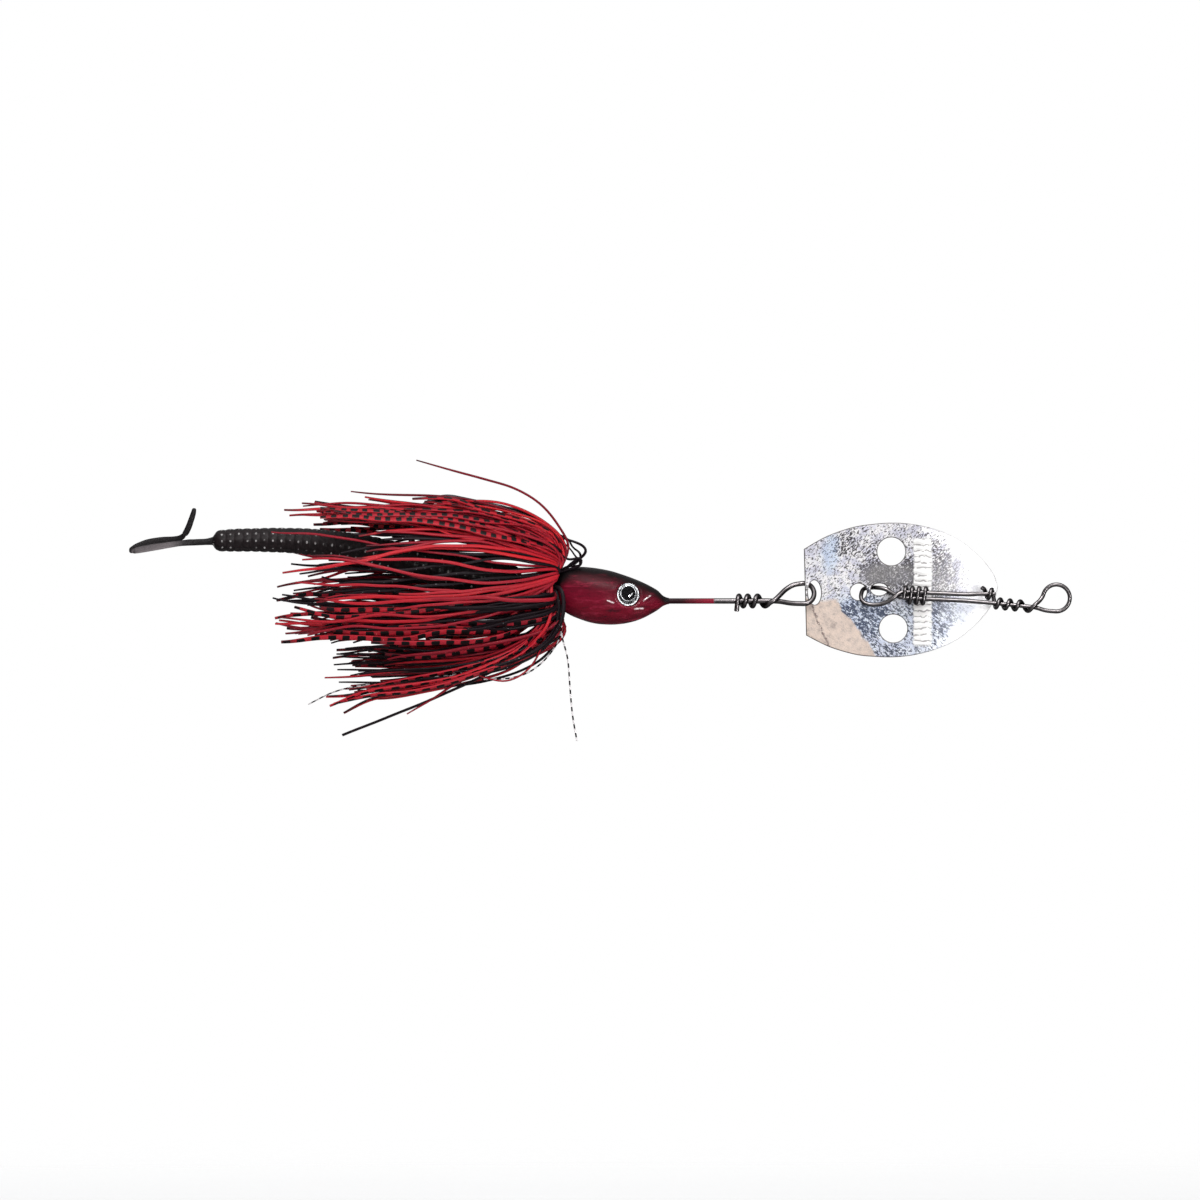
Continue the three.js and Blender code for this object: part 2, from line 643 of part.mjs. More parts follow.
function buildBlade() {
  const rim = new THREE.SplineCurve(BLADE.map((row) => point2(...row))).getPoints(26);
  const edge = table(rim.map((p) => [p.x, p.y]))(BLADE_CREASE); // half height at the crease
  const rear = rim.filter((p) => p.x < BLADE_CREASE);
  const front = rim
    .filter((p) => p.x > BLADE_CREASE)
    .map((p) => point2(p.x - BLADE_CREASE, p.y));
  const mirrored = (points) => points.map((p) => point2(p.x, -p.y)).reverse();

  const body = closed([
    ...rear,
    point2(BLADE_CREASE, edge),
    point2(BLADE_CREASE, -edge),
    ...mirrored(rear),
  ]);
  body.holes.push(...BLADE_HOLES.map(ellipseHole));

  const lip = sheet(
    closed([
      point2(0, edge),
      ...front,
      point2(BLADE_TIP - BLADE_CREASE, 0),
      ...mirrored(front),
      point2(0, -edge),
    ]),
  );
  lip.rotateZ(BLADE_LIP * DEG);
  lip.translate(BLADE_CREASE, 0, 0);

  // rounds the outside of the crease
  const roll = new THREE.CylinderGeometry(BLADE_T / 2, BLADE_T / 2, 2 * edge, 16);
  roll.rotateX(Math.PI / 2);
  roll.translate(BLADE_CREASE, 0, 0);

  return piece("blade", solid(sheet(body)).add(solid(lip)).add(solid(roll)), bladeSteel, {
    at: BLADE_AT,
    turn: [0, -BLADE_TILT * DEG, 0],
  });
}
parts.add(buildBlade());

// ---------------------------------------------------------------- tow link
const LINK_R = 0.425; // 0.85 mm stainless
const LINK_Y = -1.95; // the clip lies to the right of the blade
const TIE = { x: 78.4, z: 0.6, r: 2.7 }; // line tie eye, centre line
const SEAT_DEPTH = 0.05; // of the flat coined for the line
const SEAT_CUT = { length: 1, width: 1.4 };
const SEAT = [TIE.x + TIE.r - LINK_R + SEAT_DEPTH, LINK_Y, TIE.z];
// [x, z] of the two legs
const lowLegZ = table([[47.8, 0.62], [53.6, 0.36], [60.2, 0.04], [66, -0.42], [74.2, -1.25]]);
const highLegZ = table([
  [47.8, 1.86], [53.2, 1.62], [60.2, 1.3], [61.6, 1.32], [63, 1.44], [66.2, 1.44],
]);
const LOCK_Z = 1.44; // axis of the lock wrap, on the upper leg's front end
const BEND_X = 48.6; // where the legs run into the bend through the blade
// [degrees, x] of the wrap on the lower leg behind the tie, and of the lock wrap
const TIE_WRAP = [
  [20, 73.4], [90, 72.7], [270, 71.2], [450, 70.1], [630, 69.15],
  [810, 68.15], [990, 67.2], [1170, 66.3], [1230, 66.15],
];
const LOCK_WRAP = [[270, 65.55], [450, 64.75], [630, 63.95]];
// [x, y, z] from the lower leg through the blade's two link holes to the upper leg
const BLADE_LOOP = [
  [47.4, -1.8, 0.72], [46.4, -1.5, 1.1], [45.4, -1.4, 1.75], [44.3, -1.32, 2.35],
  [43.3, -1.12, 2.6], [42.45, -0.55, 2.68], [42.18, 0.2, 2.7], [41.75, 0.98, 2.7],
  [40.95, 1.28, 2.66], [40.15, 0.98, 2.52], [39.72, 0.25, 2.15], [39.46, -0.5, 1.5],
  [39.36, -1.2, 0.8], [39.6, -1.7, 0.02], [40.5, -1.95, -0.55], [42.2, -2.05, -0.75],
  [44.1, -2.3, -0.4], [45.6, -2.5, 0.45], [46.6, -2.35, 1.25], [47.5, -2.07, 1.78],
];

function linkPath() {
  const wrapR = LINK_R * 2 + WRAP_GAP;
  const onLeg = (legZ, ...xs) => xs.map((x) => point(x, LINK_Y, legZ(x)));
  // rows of [x, distance left of the clip's plane, z]
  const beside = (rows) => rows.map(([x, left, z]) => point(x, LINK_Y + left, z));
  const tieWrap = helix((x) => [LINK_Y, lowLegZ(x)], wrapR, 20, 1230, table(TIE_WRAP));
  const lockWrap = helix(() => [LINK_Y, LOCK_Z], wrapR, 250, 630, table(LOCK_WRAP));
  const tie = sweep(172, -92, 22, (cos, sin) =>
    point(TIE.x + TIE.r * cos, LINK_Y, TIE.z + TIE.r * sin),
  );
  return join(
    beside([[63.45, -0.15, 2.72]]),
    lockWrap.toReversed(),
    smooth(
      [lockWrap[0], ...beside([[65.8, 1.12, 1.1], [66.0, 1.02, 0.1]]), tieWrap.at(-1)],
      0.7,
    ),
    tieWrap.toReversed(),
    smooth([tieWrap[0], ...beside([[74.2, -0.86, -0.65], [75.0, -0.45, 0]]), tie[0]], 0.8),
    tie,
    smooth(
      [tie.at(-1), ...beside([[76.3, 0, -1.9], [74.2, 0, -1.3]]), ...onLeg(lowLegZ, 72.6)],
      0.9,
    ),
    onLeg(lowLegZ, 70, 66, 60.2, 53.6, 50),
    smooth(
      [...onLeg(lowLegZ, BEND_X), ...toPoints(BLADE_LOOP), ...onLeg(highLegZ, BEND_X)],
      0.62,
    ),
    onLeg(highLegZ, 50, 53.2, 60.2, 61.6, 63, 66.2),
  );
}

function buildTowLink() {
  // the seat for the line: a small flat on the inside of the eye's front
  const cutter = new THREE.BoxGeometry(SEAT_CUT.length, SEAT_CUT.width, SEAT_CUT.width);
  cutter.translate(SEAT[0] - SEAT_CUT.length / 2, SEAT[1], SEAT[2]);
  return piece("tow_link", wire(linkPath(), LINK_R).subtract(solid(cutter)), steel);
}
parts.add(buildTowLink());

// ---------------------------------------------------------------- keeper coil
const KEEPER = { r: 0.4, rearX: 47.9, frontX: 52.6, turns: 3.5, turnSteps: 14, gap: 0.1 };
const KEEPER_GAUGE_X = 50; // the coil's oval fits the legs' spacing here

// A tight oval coil round both legs of the link.
function buildKeeper() {
  const straight = highLegZ(KEEPER_GAUGE_X) - lowLegZ(KEEPER_GAUGE_X);
  const half = straight / 2;
  const r = LINK_R + KEEPER.r + KEEPER.gap;
  const arc = Math.PI * r;
  // [y, z] at a distance round the oval: up the right, over, down the left, under
  const ovalAt = (distance) => {
    let rest = distance;
    if (rest < straight) return [-r, rest - half];
    rest -= straight;
    if (rest < arc) return [-r * Math.cos(rest / r), half + r * Math.sin(rest / r)];
    rest -= arc;
    if (rest < straight) return [r, half - rest];
    rest -= straight;
    return [r * Math.cos(rest / r), -half - r * Math.sin(rest / r)];
  };
  const steps = Math.round(KEEPER.turns * KEEPER.turnSteps);
  const path = Array.from({ length: steps + 1 }, (_, i) => {
    const x = KEEPER.rearX + ((KEEPER.frontX - KEEPER.rearX) * i) / steps;
    const [y, z] = ovalAt((((i / steps) * KEEPER.turns) % 1) * 2 * (straight + arc));
    return point(x, LINK_Y + y, (lowLegZ(x) + highLegZ(x)) / 2 + z);
  });
  return piece("keeper_coil", wire(path, KEEPER.r, 7), steel);
}
parts.add(buildKeeper());

// ---------------------------------------------------------------- the whole lure, seen from its line seat
parts.position.set(-SEAT[0], -SEAT[1], -SEAT[2]);
const lure = new THREE.Group();
lure.add(parts);
export default lure;
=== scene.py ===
"""A skirted fishing lure: painted head with eyes, hook, nose wire, tow link, blade, worm and skirt.

The lure is laid out in millimetres from the nose of the head, on the nose wire's axis:
+x runs forward towards the blade and the line, +y to the lure's left and +z up.
The row frame, in metres, has its origin at the line seat.
"""

import json
import math
import random

import bmesh
import bpy
import numpy as np
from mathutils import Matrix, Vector


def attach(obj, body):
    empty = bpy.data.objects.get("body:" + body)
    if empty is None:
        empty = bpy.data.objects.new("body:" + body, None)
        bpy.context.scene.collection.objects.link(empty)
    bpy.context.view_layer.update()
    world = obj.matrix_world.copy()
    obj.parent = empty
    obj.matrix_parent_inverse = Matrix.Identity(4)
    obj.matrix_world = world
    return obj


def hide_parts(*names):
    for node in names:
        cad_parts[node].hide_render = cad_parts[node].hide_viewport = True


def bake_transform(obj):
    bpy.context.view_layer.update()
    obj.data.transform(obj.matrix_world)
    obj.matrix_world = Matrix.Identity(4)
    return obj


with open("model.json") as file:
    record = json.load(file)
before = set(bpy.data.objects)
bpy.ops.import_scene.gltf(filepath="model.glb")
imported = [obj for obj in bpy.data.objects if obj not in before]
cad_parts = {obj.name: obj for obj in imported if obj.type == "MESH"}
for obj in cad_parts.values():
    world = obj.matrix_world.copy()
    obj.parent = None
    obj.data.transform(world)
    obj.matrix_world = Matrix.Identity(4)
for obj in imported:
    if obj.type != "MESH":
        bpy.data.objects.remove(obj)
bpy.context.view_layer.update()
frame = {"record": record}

SEAT = np.array([80.725, -1.95, 0.6])
RNG = random.Random(20)
PI = math.pi
DEG = PI / 180

# ------------------------------------------------------------------ shared dimensions, mm
# Head stations: x, top, bottom, half width.
HEAD = [
    (1.0, 0.62, -0.62, 0.62), (0.55, 0.72, -0.72, 0.72), (0.1, 0.9, -0.88, 0.86),
    (-0.4, 1.25, -1.15, 1.15), (-1.1, 1.98, -1.7, 1.6), (-2.4, 2.8, -2.5, 2.25),
    (-4.4, 3.8, -3.52, 3.0), (-6.4, 4.62, -4.2, 3.55), (-8.5, 5.36, -4.6, 3.98),
    (-10.5, 5.98, -4.74, 4.26), (-12.6, 6.42, -4.66, 4.4), (-14.6, 6.7, -4.34, 4.38),
    (-16.6, 6.84, -3.72, 4.18), (-18.7, 6.66, -2.86, 3.75), (-20.3, 6.02, -1.8, 3.15),
    (-21.2, 5.1, -0.6, 2.5), (-21.6, 4.3, 0.4, 1.95), (-22.2, 4.35, 0.55, 1.9),
    (-25.1, 4.84, 1.04, 1.9), (-25.5, 5.4, 0.6, 2.4), (-25.9, 5.62, 0.52, 2.55),
    (-26.3, 5.35, 0.9, 2.2), (-27.4, 4.85, 1.75, 1.55),
]
# Cheek creases: x, z, turn in degrees, half length, half length of the painted glint streak.
CREASES = [
    (-10.75, -0.22, -22, 0.62, 0.55),
    (-5.0, -1.62, 3, 0.85, 0.75),
    (-3.35, 0.5, 36, 0.78, 0.7),
]
CREASE_LEAN = (0.165, 0.396)  # how the upper face of every crease leans, along x and along z
EYE = np.array([-7.1, 3.62, 1.3])
EYE_YAW = 12.5
SOCKET_DEPTH = 0.55
FOIL_BASE = 0.06 - SOCKET_DEPTH
FOIL_THICKNESS = 0.12
EYE_SEGMENTS = 64
SHANK_SLOPE = 0.167  # rise of the hook shank per mm rearward
WRAP_GAP = 0.06  # added to the wire's diameter to give the radius of a wrap
LINK_Y = SEAT[1]
WORM_PITCH = 1.7
WORM_LOBES = 10


def to_row(point):
    return (np.asarray(point, float) - SEAT) / 1000.0


# ------------------------------------------------------------------ curves
def arc_length(points):
    return np.r_[0, np.cumsum(np.linalg.norm(np.diff(points, axis=0), axis=1))]


def resample(points, step):
    length = arc_length(points)
    keep = np.r_[True, np.diff(length) > 1e-7]
    points, length = points[keep], length[keep]
    count = max(2, int(round(length[-1] / step)))
    at = np.linspace(0, length[-1], count + 1)
    return np.stack([np.interp(at, length, column) for column in points.T], 1)


def curve(points, step):
    """Centripetal Catmull-Rom curve through points, resampled about every step mm."""
    points = np.asarray(points, float)
    points = np.vstack([2 * points[0] - points[1], points, 2 * points[-1] - points[-2]])
    runs = []
    for i in range(1, len(points) - 2):
        four = points[i - 1 : i + 3]
        knots = [0.0]
        for chord in np.diff(four, axis=0):
            knots.append(knots[-1] + max(1e-4, np.linalg.norm(chord) ** 0.5))
        at = np.linspace(knots[1], knots[2], 13)[:-1, None]

        def between(j, k, start, end):
            span = knots[k] - knots[j]
            return (knots[k] - at) / span * start + (at - knots[j]) / span * end

        first, middle, last = (between(j, j + 1, four[j], four[j + 1]) for j in range(3))
        runs.append(between(1, 2, between(0, 2, first, middle), between(1, 3, middle, last)))
    runs.append(points[-2][None, :])
    return resample(np.vstack(runs), step)


def relax(points, passes=1):
    for _ in range(passes):
        points[1:-1] = (points[:-2] + 2 * points[1:-1] + points[2:]) / 4
    return points


def fine(points, step, passes):
    return relax(resample(np.asarray(points, float), step), passes)


def join(*runs):
    out = []
    for run in runs:
        for point in run:
            point = np.asarray(point, float)
            if not out or np.linalg.norm(out[-1] - point) > 1e-3:
                out.append(point)
    return np.array(out)


def straight_table(rows):
    columns = list(zip(*rows))
    return lambda x: np.interp(x, *columns)


def pchip(xs, ys):
    """Monotone cubic through (xs, ys), xs rising."""
    xs, ys = np.asarray(xs, float), np.asarray(ys, float)
    gap = np.diff(xs)
    rate = np.diff(ys) / gap
    slope = np.zeros_like(ys)
    slope[0], slope[-1] = rate[0], rate[-1]
    for i in range(1, len(xs) - 1):
        if rate[i - 1] * rate[i] > 0:
            w1, w2 = 2 * gap[i] + gap[i - 1], gap[i] + 2 * gap[i - 1]
            slope[i] = (w1 + w2) / (w1 / rate[i - 1] + w2 / rate[i])

    def value(x):
        x = np.clip(np.asarray(x, float), xs[0], xs[-1])
        i = np.clip(np.searchsorted(xs, x) - 1, 0, len(gap) - 1)
        t = (x - xs[i]) / gap[i]
        return (
            ys[i] * (1 + 2 * t) * (1 - t) ** 2
            + slope[i] * gap[i] * t * (1 - t) ** 2
            + ys[i + 1] * t * t * (3 - 2 * t)
            + slope[i + 1] * gap[i] * t * t * (t - 1)
        )

    return value


def cross_axes(path, normal=None):
    """Tangents and two cross axes. normal: wanted first axis per point, else carried along."""
    tangent = np.gradient(path, axis=0)
    tangent /= np.linalg.norm(tangent, axis=1)[:, None] + 1e-12
    if normal is None:
        first = np.zeros_like(path)
        axis = np.array([0.0, 0, 1] if abs(tangent[0][2]) < 0.9 else [0.0, 1, 0])
        for i in range(len(path)):
            axis = axis - tangent[i] * (axis @ tangent[i])
            axis /= np.linalg.norm(axis) + 1e-12
            first[i] = axis
    else:
        first = normal - tangent * np.sum(normal * tangent, 1)[:, None]
        first /= np.linalg.norm(first, axis=1)[:, None] + 1e-9
        for i in range(1, len(first)):
            if first[i] @ first[i - 1] < 0:
                first[i] = -first[i]
    return tangent, first, np.cross(tangent, first)


def ellipse(wide, sides, deep=None, centre=(0.0, 0.0)):
    deep = wide if deep is None else deep
    turns = [2 * PI * i / sides for i in range(sides)]
    return [(centre[0] + wide * math.cos(a), centre[1] + deep * math.sin(a)) for a in turns]


# ------------------------------------------------------------------ meshes
def add_object(name, data):
    o = bpy.data.objects.new(name, data)
    bpy.context.scene.collection.objects.link(o)
    return o


def shade_smooth(mesh):
    mesh.polygons.foreach_set("use_smooth", [True] * len(mesh.polygons))


def set_attribute(mesh, name, values):
    data = mesh.attributes.new(name, "FLOAT", "POINT").data
    data.foreach_set("value", np.asarray(values, np.float32))


def make_object(name, verts, faces, material, angle=50, uv=None, attributes=None):
    """One mesh object from vertices in mm; edges sharper than angle degrees stay sharp."""
    mesh = bpy.data.meshes.new(name)
    mesh.from_pydata(to_row(np.array(verts)).tolist(), [], faces)
    if uv is not None:
        layer = mesh.uv_layers.new(name="UVMap")
        layer.data.foreach_set("uv", np.array(uv, np.float32).ravel())
    for label, values in (attributes or {}).items():
        set_attribute(mesh, label, values)
    mesh.materials.append(material)
    shade_smooth(mesh)
    mesh.validate()
    mesh.update()
    bm = bmesh.new()
    bm.from_mesh(mesh)
    bmesh.ops.recalc_face_normals(bm, faces=bm.faces)
    bm.to_mesh(mesh)
    bm.free()
    mesh.set_sharp_from_angle(angle=math.radians(angle))
    return add_object(name, mesh)


def register(o, body, piece):
    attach(o, body)
    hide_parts(piece)


def ring_faces(rings, sides, first=0):
    faces = []
    for i in range(rings - 1):
        near = first + i * sides
        far = near + sides
        for j in range(sides):
            j2 = (j + 1) % sides
            faces.append((near + j, near + j2, far + j2, far + j))
    return faces


class Tubes:
    """Swept tubes in one mesh: UV (mm along, share round), a tone and the distance to the tip."""

    def __init__(self):
        self.verts, self.faces, self.uv, self.tone, self.tip = [], [], [], [], []

    def sweep(self, path, section, scale=None, normal=None, tone=0.0, cap=0.35, printed=1.0):
        """printed stretches the u coordinate."""
        path, section = np.asarray(path, float), np.asarray(section, float)
        count, sides = len(path), len(section)
        scale = np.ones(count) if scale is None else np.asarray(scale, float)
        tangent, wide, thin = cross_axes(path, normal)
        length = arc_length(path)
        first = len(self.verts)

        def ring(i, size=1.0):
            return size * scale[i] * (section[:, :1] * wide[i] + section[:, 1:] * thin[i])

        for i in range(count):
            self.verts.extend(path[i] + ring(i))
            self.tone.extend([tone] * sides)
            self.tip.extend([min(length[i] + 5.0, length[-1] - length[i])] * sides)
        self.faces += ring_faces(count, sides, first)
        for i in range(count - 1):
            u0, u1 = length[i] * printed, length[i + 1] * printed
            for j in range(sides):
                v0, v1 = j / sides, (j + 1) / sides
                self.uv += [(u0, v0), (u0, v1), (u1, v1), (u1, v0)]
        for i, sign in ((0, -1), (count - 1, 1)):
            # a softly rounded end: one smaller ring and a centre
            out = tangent[i] * (cap * scale[i] * float(np.abs(section).max())) * sign
            inner = len(self.verts)
            self.verts.extend(path[i] + out * 0.8 + ring(i, 0.62))
            self.verts.append(path[i] + out)
            self.tone.extend([tone] * (sides + 1))
            self.tip.extend([0.0 if sign > 0 else 5.0] * (sides + 1))
            outer = first + i * sides
            u = length[i] * printed
            for j in range(sides):
                j2 = (j + 1) % sides
                side = (outer + j, outer + j2, inner + j2, inner + j)
                fan = (inner + j, inner + j2, inner + sides)
                self.faces += [side[::sign], fan[::sign]]
                self.uv += [(u, j / sides)] * 7
        return self

    def reshape_rings(self, count, change):
        """Passes the rings of a lone tube, shaped (count, sides, 3), to change for editing."""
        verts = np.array(self.verts)
        sides = len(verts) // (count + 2)
        change(verts[: count * sides].reshape(count, sides, 3))
        self.verts = verts

    def make(self, name, material, angle=50):
        attributes = {"tone": self.tone, "tip": self.tip}
        return make_object(name, self.verts, self.faces, material, angle, self.uv, attributes)


# ------------------------------------------------------------------ shader building
def math_node(operation, swapped=False):
    def apply(self, other=0.0, third=0.0):
        first, second = (other, self) if swapped else (self, other)
        return self.graph.value("ShaderNodeMath", first, second, third, operation=operation)

    return apply


class Value:
    """A shader output that can be written in sums; each operator makes one math node."""

    __add__, __radd__ = math_node("ADD"), math_node("ADD", swapped=True)
    __sub__, __rsub__ = math_node("SUBTRACT"), math_node("SUBTRACT", swapped=True)
    __mul__, __truediv__ = math_node("MULTIPLY"), math_node("DIVIDE")
    __pow__, __abs__ = math_node("POWER"), math_node("ABSOLUTE")
    max, sqrt, fract = math_node("MAXIMUM"), math_node("SQRT"), math_node("FRACT")
    pingpong = math_node("PINGPONG")
    scaled = math_node("MULTIPLY_ADD")  # scaled(factor, offset)

    def __init__(self, graph, socket):
        self.graph, self.socket = graph, socket

    def rise(self, low, high):
        """Smoothly 0 below low, 1 above high."""
        return self.graph.value(
            "ShaderNodeMapRange", self, low, high, 0.0, 1.0,
            interpolation_type="SMOOTHSTEP", clamp=True,
        )

    def fall(self, low, high):
        """Smoothly 1 below low, 0 above high."""
        return 1.0 - self.rise(low, high)


class Graph:
    """The node tree of a material or world."""

    def __init__(self, owner, output="Material"):
        self.owner = owner
        owner.use_nodes = True
        self.tree = owner.node_tree
        self.tree.nodes.clear()
        self.output = self.tree.nodes.new("ShaderNodeOutput" + output)

    def put(self, socket, value):
        if isinstance(value, Value):
            self.tree.links.new(value.socket, socket)
        elif isinstance(value, bpy.types.Node):
            self.tree.links.new(value.outputs[0], socket)
        else:
            if isinstance(value, tuple) and len(value) == 3 and socket.type == "RGBA":
                value = (*value, 1.0)
            socket.default_value = value

    def node(self, kind, *values, **settings):
        """values fill the inputs in order; settings are properties, or inputs if capitalised."""
        node = self.tree.nodes.new(kind)
        for key, value in settings.items():
            if key[0].islower():
                setattr(node, key, value)
        for socket, value in zip(node.inputs, values):
            self.put(socket, value)
        for key, value in settings.items():
            if key[0].isupper():
                self.put(node.inputs[key.replace("_", " ")], value)
        return node

    def value(self, kind, *values, output=0, **settings):
        return Value(self, self.node(kind, *values, **settings).outputs[output])

    def finish(self, shader):
        self.put(self.output.inputs[0], shader)
        return self.owner

    def surface(self, **inputs):
        return self.finish(self.node("ShaderNodeBsdfPrincipled", **inputs))

    def ramp(self, factor, *stops):
        node = self.node("ShaderNodeValToRGB", factor)
        elements = node.color_ramp.elements
        while len(elements) < len(stops):
            elements.new(0.5)
        for element, (position, _) in zip(elements, stops):
            element.position = position
        for element, (_, colour) in zip(elements, stops):
            colour = colour if isinstance(colour, tuple) else (colour,) * 3
            element.color = (*colour, 1.0)
        return Value(self, node.outputs[0])

    def mix(self, factor, first, second, blend="MIX"):
        node = self.node("ShaderNodeMix", data_type="RGBA", blend_type=blend, clamp_factor=True)
        for index, value in ((0, factor), (6, first), (7, second)):
            self.put(node.inputs[index], value)
        return Value(self, node.outputs[2])

    def attribute(self, name):
        return self.value("ShaderNodeAttribute", output="Fac", attribute_name=name)

    def split(self, vector):
        return [Value(self, o) for o in self.node("ShaderNodeSeparateXYZ", vector).outputs]

    def uv(self):
        return self.split(self.value("ShaderNodeUVMap", uv_map="UVMap"))[:2]

    def vector(self, x, y, z):
        return self.value("ShaderNodeCombineXYZ", x, y, z)

    def mapping(self, vector, **inputs):
        return self.value("ShaderNodeMapping", Vector=vector, **inputs)

    def coordinates(self, output):
        return self.value("ShaderNodeTexCoord", output=output)

    def place(self):
        """Position in millimetres in the lure's own frame."""
        metres = self.coordinates("Object")
        scale, offset = (1000.0,) * 3, tuple(SEAT)
        return self.value(
            "ShaderNodeVectorMath", metres, scale, offset, operation="MULTIPLY_ADD"
        )

    def noise(self, vector, scale, detail=3.0, rough=0.55, distortion=0.0):
        return self.value(
            "ShaderNodeTexNoise", Vector=vector, Scale=scale, Detail=detail,
            Roughness=rough, Distortion=distortion,
        )

    def cells(self, vector, scale):
        return self.value("ShaderNodeTexVoronoi", output="Distance", Vector=vector, Scale=scale)

    def facing(self, blend=0.5):
        """0 where the surface faces the eye, 1 where it turns away."""
        return self.value("ShaderNodeLayerWeight", output="Facing", Blend=blend)

    def bump(self, height, distance, strength, **normal):
        return self.value(
            "ShaderNodeBump", Height=height, Distance=distance, Strength=strength, **normal
        )


def material(name):
    return Graph(bpy.data.materials.new(name))


# ------------------------------------------------------------------ metal materials
def wire_finish(g, light):
    """Place, colour, roughness and bump of drawn wire."""
    place = g.place()
    # painted shade: the wire darkens towards its silhouette
    edge = g.facing(blend=0.35).rise(0.06, 0.42)
    mottle = g.noise(place, scale=1.6, detail=4)
    tone = g.ramp(mottle, (0.3, tuple(0.7 * c for c in light)), (0.6, light))
    colour = g.mix(edge, tone, (0.006, 0.0045, 0.005))
    roughness = g.noise(place, scale=4.0, detail=2).scaled(0.06, 0.28)
    return place, colour, roughness, g.bump(mottle, distance=0.00001, strength=0.15)


def steel_wire():
    g = material("spring_steel_wire")
    _, colour, roughness, bump = wire_finish(g, (0.31, 0.285, 0.29))
    return g.surface(Base_Color=colour, Metallic=1.0, Roughness=roughness, Normal=bump)


def nose_wire_material():
    g = material("nose_wire_finish")
    place, colour, roughness, bump = wire_finish(g, (0.29, 0.265, 0.27))
    x = g.split(place)[0]
    # paint covers the wire from the head to about x = 10, darker towards the head
    painted = (x + g.noise(place, scale=2.2) * 0.5).fall(10.1, 10.35)
    along = g.noise(place, scale=1.3).scaled(1.5, x).rise(3.4, 10.4)
    red = g.mix(along, (0.018, 0.002, 0.0045), (0.24, 0.004, 0.024))
    # painted shade: the paint darkens where the wire turns away
    paint = g.mix(g.facing().rise(0.3, 0.8) * 0.9, red, (0.012, 0.004, 0.006))
    return g.surface(
        Base_Color=g.mix(painted, colour, paint),
        Metallic=1.0 - painted,
        Roughness=painted.scaled(0.12, roughness),
        Coat_Weight=painted * 0.1,
        Specular_IOR_Level=0.2,
        Coat_Roughness=0.08,
        Normal=bump,
    )


def hook_material():
    g = material("black_nickel_plate")
    place = g.place()
    mottle = g.noise(place, scale=2.5, detail=4)
    plate = g.ramp(mottle, (0.35, (0.10, 0.10, 0.105)), (0.7, (0.22, 0.22, 0.23)))
    # painted shade: the plating darkens towards the silhouette
    return g.surface(
        Base_Color=g.mix(g.facing(blend=0.4).rise(0.2, 0.9), plate, (0.012, 0.012, 0.013)),
        Metallic=1.0,
        Roughness=mottle.scaled(0.14, 0.1),
        Normal=g.bump(g.noise(place, scale=12), distance=0.00001, strength=0.4),
    )


# Patches of denser strokes on the blade: x, z, x radius, z radius, softness, amount.
STROKE_PATCHES = [
    (36.4, 11.6, 2.6, 2.6, 0.5, 0.30),
    (46.0, 5.4, 6.0, 3.0, 0.6, 0.42),
    (42.0, 6.5, 3.0, 5.5, 0.5, 0.22),
    (40.0, -3.8, 7.5, 4.2, 0.5, 0.34),
    (44.6, -10.6, 3.6, 2.2, 0.5, 0.22),
    (55.0, 6.2, 5.2, 7.0, 0.9, 0.36),
    (54.4, -4.8, 4.2, 4.2, 0.9, 0.32),
]


def blade_warm_sheet(g, place, x, z, mark, speck):
    """Beige sheet with one slanting crease."""
    mottle = g.noise(place, scale=0.7, detail=4, rough=0.65)
    beige = g.ramp(
        mottle, (0.32, (0.47, 0.38, 0.34)), (0.46, (0.68, 0.56, 0.49)), (0.62, (0.77, 0.63, 0.54))
    )
    crease = abs(x + z * 0.42 + mottle * 1.6 + -29.9).fall(0.08, 0.34)
    beige = g.mix(crease * speck.fall(0.5, 0.62), beige, (0.23, 0.17, 0.16))
    return g.mix(mark.fall(0.40, 0.46) * 0.4, beige, (0.42, 0.33, 0.29))


def blade_wave_band(g, x, z):
    """The upright band of short waves: its cover, its ripple and its dark lines."""
    wander = g.noise(g.vector(x * 0.5, 0.0, z * 0.5), scale=1.0, detail=2, rough=0.4, distortion=0.8)
    rows = z * 0.16 + wander * 0.24
    ragged = g.noise(g.vector(0.0, 3.0, z), scale=1.4, detail=2).scaled(0.9, -0.45)
    across = x + ragged
    band = across.rise(49.7, 50.1) * across.fall(53.3, 53.8)
    band = band * z.rise(-9.4, -8.4) * z.fall(12.2, 12.8)
    ripple = (rows * 5.2).pingpong(0.5)
    breaks = g.noise(g.vector(x, 0.0, z * 0.6), scale=0.9, detail=2).rise(0.36, 0.46)
    return band, ripple, band * ripple.fall(0.05, 0.17) * breaks


